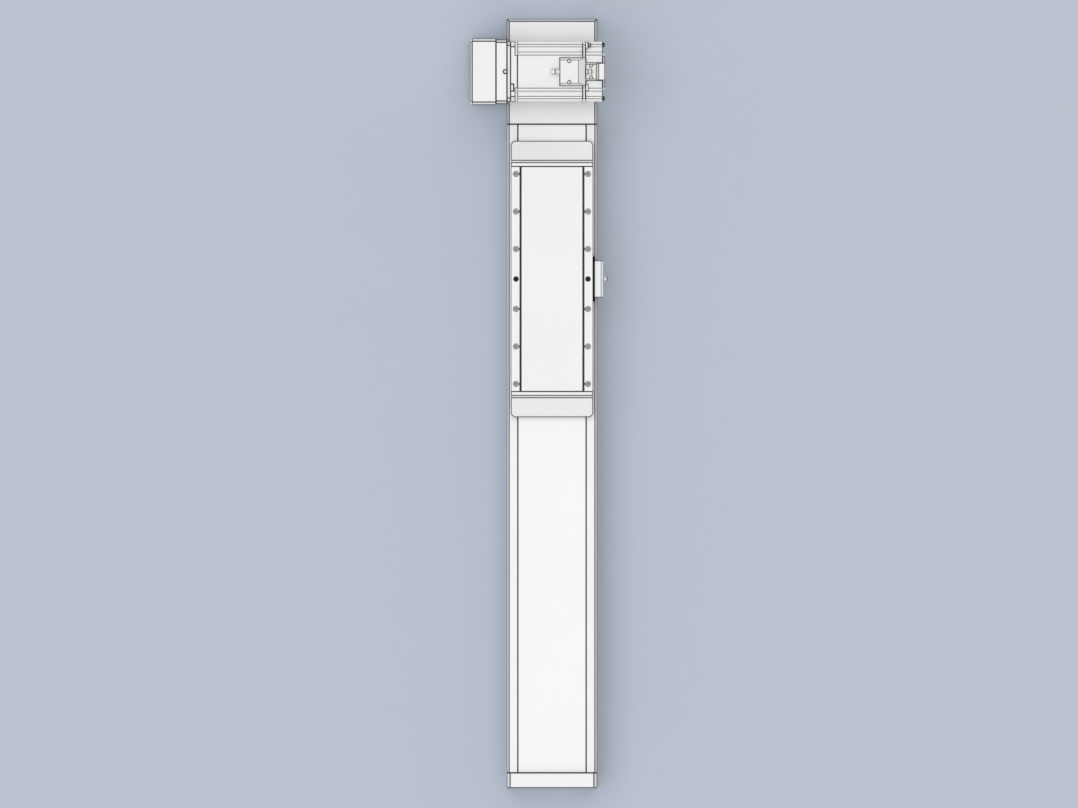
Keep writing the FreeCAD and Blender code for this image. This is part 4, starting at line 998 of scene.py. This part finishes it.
# Motor
def motor_outline(drop=0.0):
    """Ribbed section of the motor, drawn in by a drop."""
    half = motor_half
    corners = [
        (motor_flat, -half + drop),
        (motor_ridge, -half + ridge_drop + drop),
        (motor_valley, -half + valley_drop + drop),
        (half - drop, -half + valley_drop + drop, motor_corner),
        (half - drop, half - valley_drop - drop, motor_corner),
        (motor_valley, half - valley_drop - drop),
        (motor_ridge, half - ridge_drop - drop),
        (motor_flat, half - drop),
    ]
    return [(drive_y + corner[0], motor_z + corner[1]) + corner[2:] for corner in mirrored(corners)]


def raised_pad(bm, near):
    """Small pad on top of the encoder cover, from this place along X."""
    length = 4.2
    half = 4.65
    rise = 1.0
    pad_y = drive_y - 21.3
    block(bm, near, near + length, pad_y - half, pad_y + half, motor_top - rise, motor_top + rise)


def build_adapter():
    """Adapter plate with cut corners, as wide as the motor."""
    bore = 13.0
    cut = (adapter.y1 - adapter.y0) / 2
    corners = mirrored([(cut, -motor_half), (motor_half, -cut), (motor_half, cut), (cut, motor_half)])
    bm = bmesh.new()
    prism(bm, [(drive_y + a, motor_z + b) for a, b in corners], "x", adapter.x0, adapter.x1)
    cutter = bmesh.new()
    turned(cutter, "x", drive_y, motor_z, [(adapter.x0 - past, bore), (adapter.x1 + past, bore)], many_sides)
    dress("motor_adapter", fine_edge, carved(bm, cutter))


def build_motor():
    step_drop = 0.4
    step_start = 6.5
    step_gap = 0.05
    build_adapter()
    dress("motor_flange", fine_edge)
    bm = bmesh.new()
    prism(bm, motor_outline(step_drop), "x", flange.x0 + step_start, motor.x0 - step_gap)
    add("flange_step", bm, "base", "motor_paint")
    bm = bmesh.new()
    prism(bm, motor_outline(), "x", motor.x0, motor.x1)
    dress("motor_body", fine_edge, bm)
    dress("motor_bracket", fine_edge)
    bm = bmesh.new()
    prism(bm, motor_outline(), "x", encoder.x0, encoder.x1)
    raised_pad(bm, encoder.x0)
    dress("encoder_cover", fine_edge, bm)
    dress("rear_cap", fine_edge)
    build_rear_screws()
    build_motor_lines()
    build_terminal()


def build_rear_screws():
    radius = 3.2
    bevel = 1.3
    # Wide enough that the screw's sides take the painted edge shade whole
    line = 1.7
    screws = span("rear_screws")
    bm = bmesh.new()
    for y in (screws.y0 + radius, screws.y1 - radius):
        for z in (screws.z0 + radius, screws.z1 - radius):
            screw(bm, "x", screws.x0, 1, y, z, 2 * radius, screws.x1 - screws.x0, bevel)
    add("rear_screw_heads", bm, "base", "screw_steel", ["rear_screws"], line)


def build_motor_lines():
    """Dark strips of painted shade along the rib edges of the motor, above and below."""
    half_line = 0.45
    depth = 0.8
    outer_line = 36.2
    flat_proud = 0.04
    rib_proud = 0.15
    outer_proud = 0.05
    bracket_gap = 0.1
    end_gap = 0.3
    rows = [
        (motor_flat, motor_half + flat_proud),
        (motor_ridge, motor_half - ridge_drop + rib_proud),
        (motor_valley, motor_half - valley_drop + rib_proud),
        (outer_line, motor_half - valley_drop + outer_proud),
    ]
    bm = bmesh.new()
    for reach, height in rows:
        for side in (-1, 1):
            y = drive_y + side * reach
            for level in (1, -1):
                z = motor_z + level * height
                low, high = sorted((z - level * depth, z))
                block(bm, motor.x0, bracket.x0 - bracket_gap, y - half_line, y + half_line, low, high)
                block(bm, encoder.x0, encoder.x1 - end_gap, y - half_line, y + half_line, low, high)
    trim("motor_rib_shade", bm, "base")


def build_terminal():
    """Earth lug with its clamping screw, on a dark ring of painted shade."""
    lug_length = 3.7
    lug_height = 6.0
    radius = 3.3
    screw_inset = 0.2
    bevel = 0.6
    shade_ring_start = 0.2
    shade_ring_end = 0.4
    offset_y = 35.2
    lug = span("ground_terminal")
    lug_end = lug.x0 + lug_length
    seat = lug_end + shade_ring_end
    y = drive_y + offset_y
    z = lug.z0 + radius
    bm = bmesh.new()
    block(bm, lug.x0, lug_end, lug.y0, lug.y1, motor_top - lug_height, lug.z1)
    add("terminal_lug", bm, "base", "gland_metal", ["ground_terminal"], fine_edge)
    bm = bmesh.new()
    screw(bm, "x", seat, 1, y, z, 2 * (radius - screw_inset), lug.x1 - seat, bevel)
    add("terminal_screw", bm, "base", "screw_steel", ["ground_terminal"], fine_edge)
    bm = bmesh.new()
    turned(bm, "x", y, z, [(lug_end - shade_ring_start, radius), (seat, radius)], few_sides)
    trim("terminal_shade_ring", bm, "base")


# Connectors on top of the motor
def build_connectors():
    dress("power_connector", small_edge)
    dress("encoder_connector", fine_edge)
    build_connector_screws()
    build_glands()
    build_blanking_plug()


def build_connector_screws():
    """Screws on dark rings of painted shade: two on bosses of the power connector, two in the encoder
    connector.
    """
    half = 0.2
    boss = 2.95
    boss_bevel = 0.2
    power_head = 3.8
    power_shade_ring = 2.85
    plug_head = 3.4
    plug_height = 2.2
    plug_shade_ring = 2.6
    power_x = power.x0 + 12.4
    power_spread = 14.1
    plug_x = plug.x0 + 7.5
    plug_spread = 7.8
    heads = bmesh.new()
    bosses = bmesh.new()
    shade_rings = bmesh.new()
    power_height = span("connector_screws").z1 - power.z1 - half
    for y in (drive_y - power_spread, drive_y + power_spread):
        turned(bosses, "z", power_x, y, [
            (motor_top, boss), (power.z1 - boss_bevel, boss), (power.z1, boss - boss_bevel)])
        screw(heads, "z", power.z1 + half, 1, power_x, y, power_head, power_height)
        turned(shade_rings, "z", power_x, y, [(power.z1 - half, power_shade_ring), (power.z1 + half, power_shade_ring)])
    for y in (drive_y - plug_spread, drive_y + plug_spread):
        screw(heads, "z", plug_floor + half, 1, plug_x, y, plug_head, plug_height)
        turned(shade_rings, "z", plug_x, y, [(plug_floor - half, plug_shade_ring), (plug_floor + half, plug_shade_ring)])
    add("connector_screw_heads", heads, "base", "screw_steel", ["connector_screws"])
    add("connector_bosses", bosses, "base", "connector_shell")
    trim("connector_shade_rings", shade_rings, "base")


def build_glands():
    """Two glands: a plain collar on the power connector, and a stepped one in the encoder connector."""
    radius = 3.35
    collar = 6.3
    collar_end = 6.7
    collar_tip = 3.0
    groove = 3.1
    nose = 2.4
    nose_tip = 1.2
    stepped = [
        (0.6, radius), (3.0, radius), (3.2, groove), (3.8, groove), (4.0, radius), (7.8, radius),
        (9.3, nose), (10.0, nose_tip),
    ]
    glands = bmesh.new()
    turned(glands, "x", drive_y, plug_axis, [
        (power.x0, radius), (power.x0 - collar, radius), (power.x0 - collar_end, collar_tip)])
    profile = [(plug.x0 + offset, reach) for offset, reach in stepped]
    turned(glands, "x", drive_y, plug_floor + radius, profile)
    add("cable_gland_bodies", glands, "base", "gland_metal", ["cable_glands"], small_edge)


def build_blanking_plug():
    """Plug with a rounded nose."""
    radius = 3.2
    nose = 2.4
    nose_steps = 6
    tip = span("blanking_plug")
    bm = bmesh.new()
    profile = [(tip.x1, radius), (tip.x0 + nose, radius)]
    for step in range(1, nose_steps + 1):
        turn = math.pi / 2 * step / nose_steps
        profile.append((tip.x0 + nose * (1 - math.sin(turn)), radius - nose + nose * math.cos(turn)))
    turned(bm, "x", drive_y, plug_axis, profile)
    add("blanking_plug_body", bm, "base", "plug_plastic", ["blanking_plug"], small_edge)
    build_plug_edge_shade(tip)


def build_plug_edge_shade(tip):
    """Dark band of painted shade round the plug at the height of its axis, and a dark ring of painted shade
    at its root.
    """
    shade_reach = 3.6
    shade_tip_reach = 1.2
    half = 0.3
    collar = 3.3
    shade_collar_start = tip.x1 - 0.4
    collar_end = tip.x1 + 0.5
    nose_x = tip.x0 + 0.2
    shoulder_x = tip.x0 + 2.0
    bm = bmesh.new()
    prism(bm, [(nose_x, drive_y - shade_tip_reach), (shoulder_x, drive_y - shade_reach), (power.x0, drive_y - shade_reach),
               (power.x0, drive_y + shade_reach), (shoulder_x, drive_y + shade_reach), (nose_x, drive_y + shade_tip_reach)],
          "z", plug_axis - half, plug_axis + half)
    turned(bm, "x", drive_y, plug_axis, [(shade_collar_start, collar), (collar_end, collar)])
    trim("plug_edge_shade", bm, "base")


# Dark lines where two pieces meet
def line_on_top(bm, x0, x1, y0, y1, z, depth=1.0):
    """Dark line sunk into a level face, standing a hair proud of it."""
    block(bm, x0, x1, y0, y1, z - depth, z + joint_proud)


def build_joints():
    bm = bmesh.new()
    add_frame_joints(bm)
    add_side_box_joints(bm)
    add_motor_joints(bm)
    add_connector_joints(bm)
    trim("base_joints", bm, "base")


def add_frame_joints(bm):
    """Lines across the profile at both of its ends, inside its bevelled corners."""
    corner = 2.7
    depth = 0.5
    half = extrusion.x1 - corner
    for y in (extrusion.y1 - joint_width, extrusion.y0):
        line_on_top(bm, -half, half, y, y + joint_width, extrusion.z1, depth)


def add_side_box_joints(bm):
    """Lines between the side box's cover, its base and the motor adapter, and down the base's corners."""
    half = joint_width / 2
    box_corner = 4.0
    adapter_start = 0.1
    adapter_inset = 0.5
    line_depth = 1.0
    bend_inset = 1.3
    bend_low = 0.6
    bend_high = 0.45
    half_line = 0.35
    end_gap = 0.2
    cover_top = box_base.z1 + joint_proud
    block(bm, box_base.x0 - half, box_base.x0 + half, box_base.y0 + box_corner, box_base.y1 - box_corner,
          cover_top - line_depth, cover_top)
    line_start = box_base.x1 - adapter_start
    line_on_top(bm, line_start, line_start + joint_width, adapter.y0 + adapter_inset,
                adapter.y1 - adapter_inset, adapter.z1)
    level = box_base.z1 - 2.8
    for y in (box_base.y0 + bend_inset, box_base.y1 - bend_inset):
        block(bm, box_base.x0 + end_gap, box_base.x1 - end_gap, y - half_line, y + half_line,
              level - bend_low, level + bend_high)


def add_motor_joints(bm):
    """Lines across the flat top of the motor where its parts meet."""
    half_line = 0.45
    for x in (flange.x0, motor.x0, motor.x1, encoder.x0):
        line_on_top(bm, x - half_line, x + half_line, drive_y - motor_flat, drive_y + motor_flat, motor_top)


def add_connector_joints(bm):
    """Outlines of both connectors on the motor, and of the encoder connector's floor."""
    line = 1.2
    floor_inset = 1.4
    floor_depth = 0.5
    outside = 0.9
    inside = 0.1
    end_gap = 0.5
    half_power = (power.y1 - power.y0) / 2
    line_on_top(bm, plug.x0, plug.x0 + line, drive_y - half_power, drive_y + half_power, motor_top)
    line_on_top(bm, plug.x0, plug.x0 + line, plug.y0 + floor_inset, plug.y1 - floor_inset, plug_floor,
                floor_depth)
    near = power.x0 - outside
    line_on_top(bm, near, power.x0 + inside, power.y0 - outside, power.y1 + outside, motor_top)
    line_on_top(bm, near, bracket.x0, power.y0 - outside, power.y0 + inside, motor_top)
    line_on_top(bm, near, bracket.x0, power.y1 - inside, power.y1 + outside, motor_top)
    reach = plug.y1 - drive_y
    for side in (-1, 1):
        near_y, far_y = sorted((drive_y + side * reach, drive_y + side * (reach + joint_width)))
        line_on_top(bm, plug.x0 - line, encoder.x1 - end_gap, near_y, far_y, motor_top)


look_down(width=1.43733, x=-0.01733, y=-0.00067)
add_sun("key", strength=1.15, angle=55.0, direction=(0.15, -0.08, -1.0))
add_sun("fill_front", strength=0.45, angle=70.0, direction=(0.3, 0.8, -0.45))
add_sun("fill_back", strength=0.35, angle=70.0, direction=(-0.5, -0.8, -0.45))
set_world(colour=(1.0, 1.0, 1.0), strength=0.5)

build_floor()
build_body()
build_head()
build_strip()
build_belt()
build_table()
build_carriage_ends()
build_dog()
build_side_belt()
build_side_box()
build_motor()
build_connectors()
build_joints()

for node, piece in frame["nodes"].items():
    if not piece.hide_render:
        for index in range(len(piece.data.materials)):
            piece.data.materials[index] = looks[slot_of[node]]

bpy.context.scene.view_settings.view_transform = "Standard"
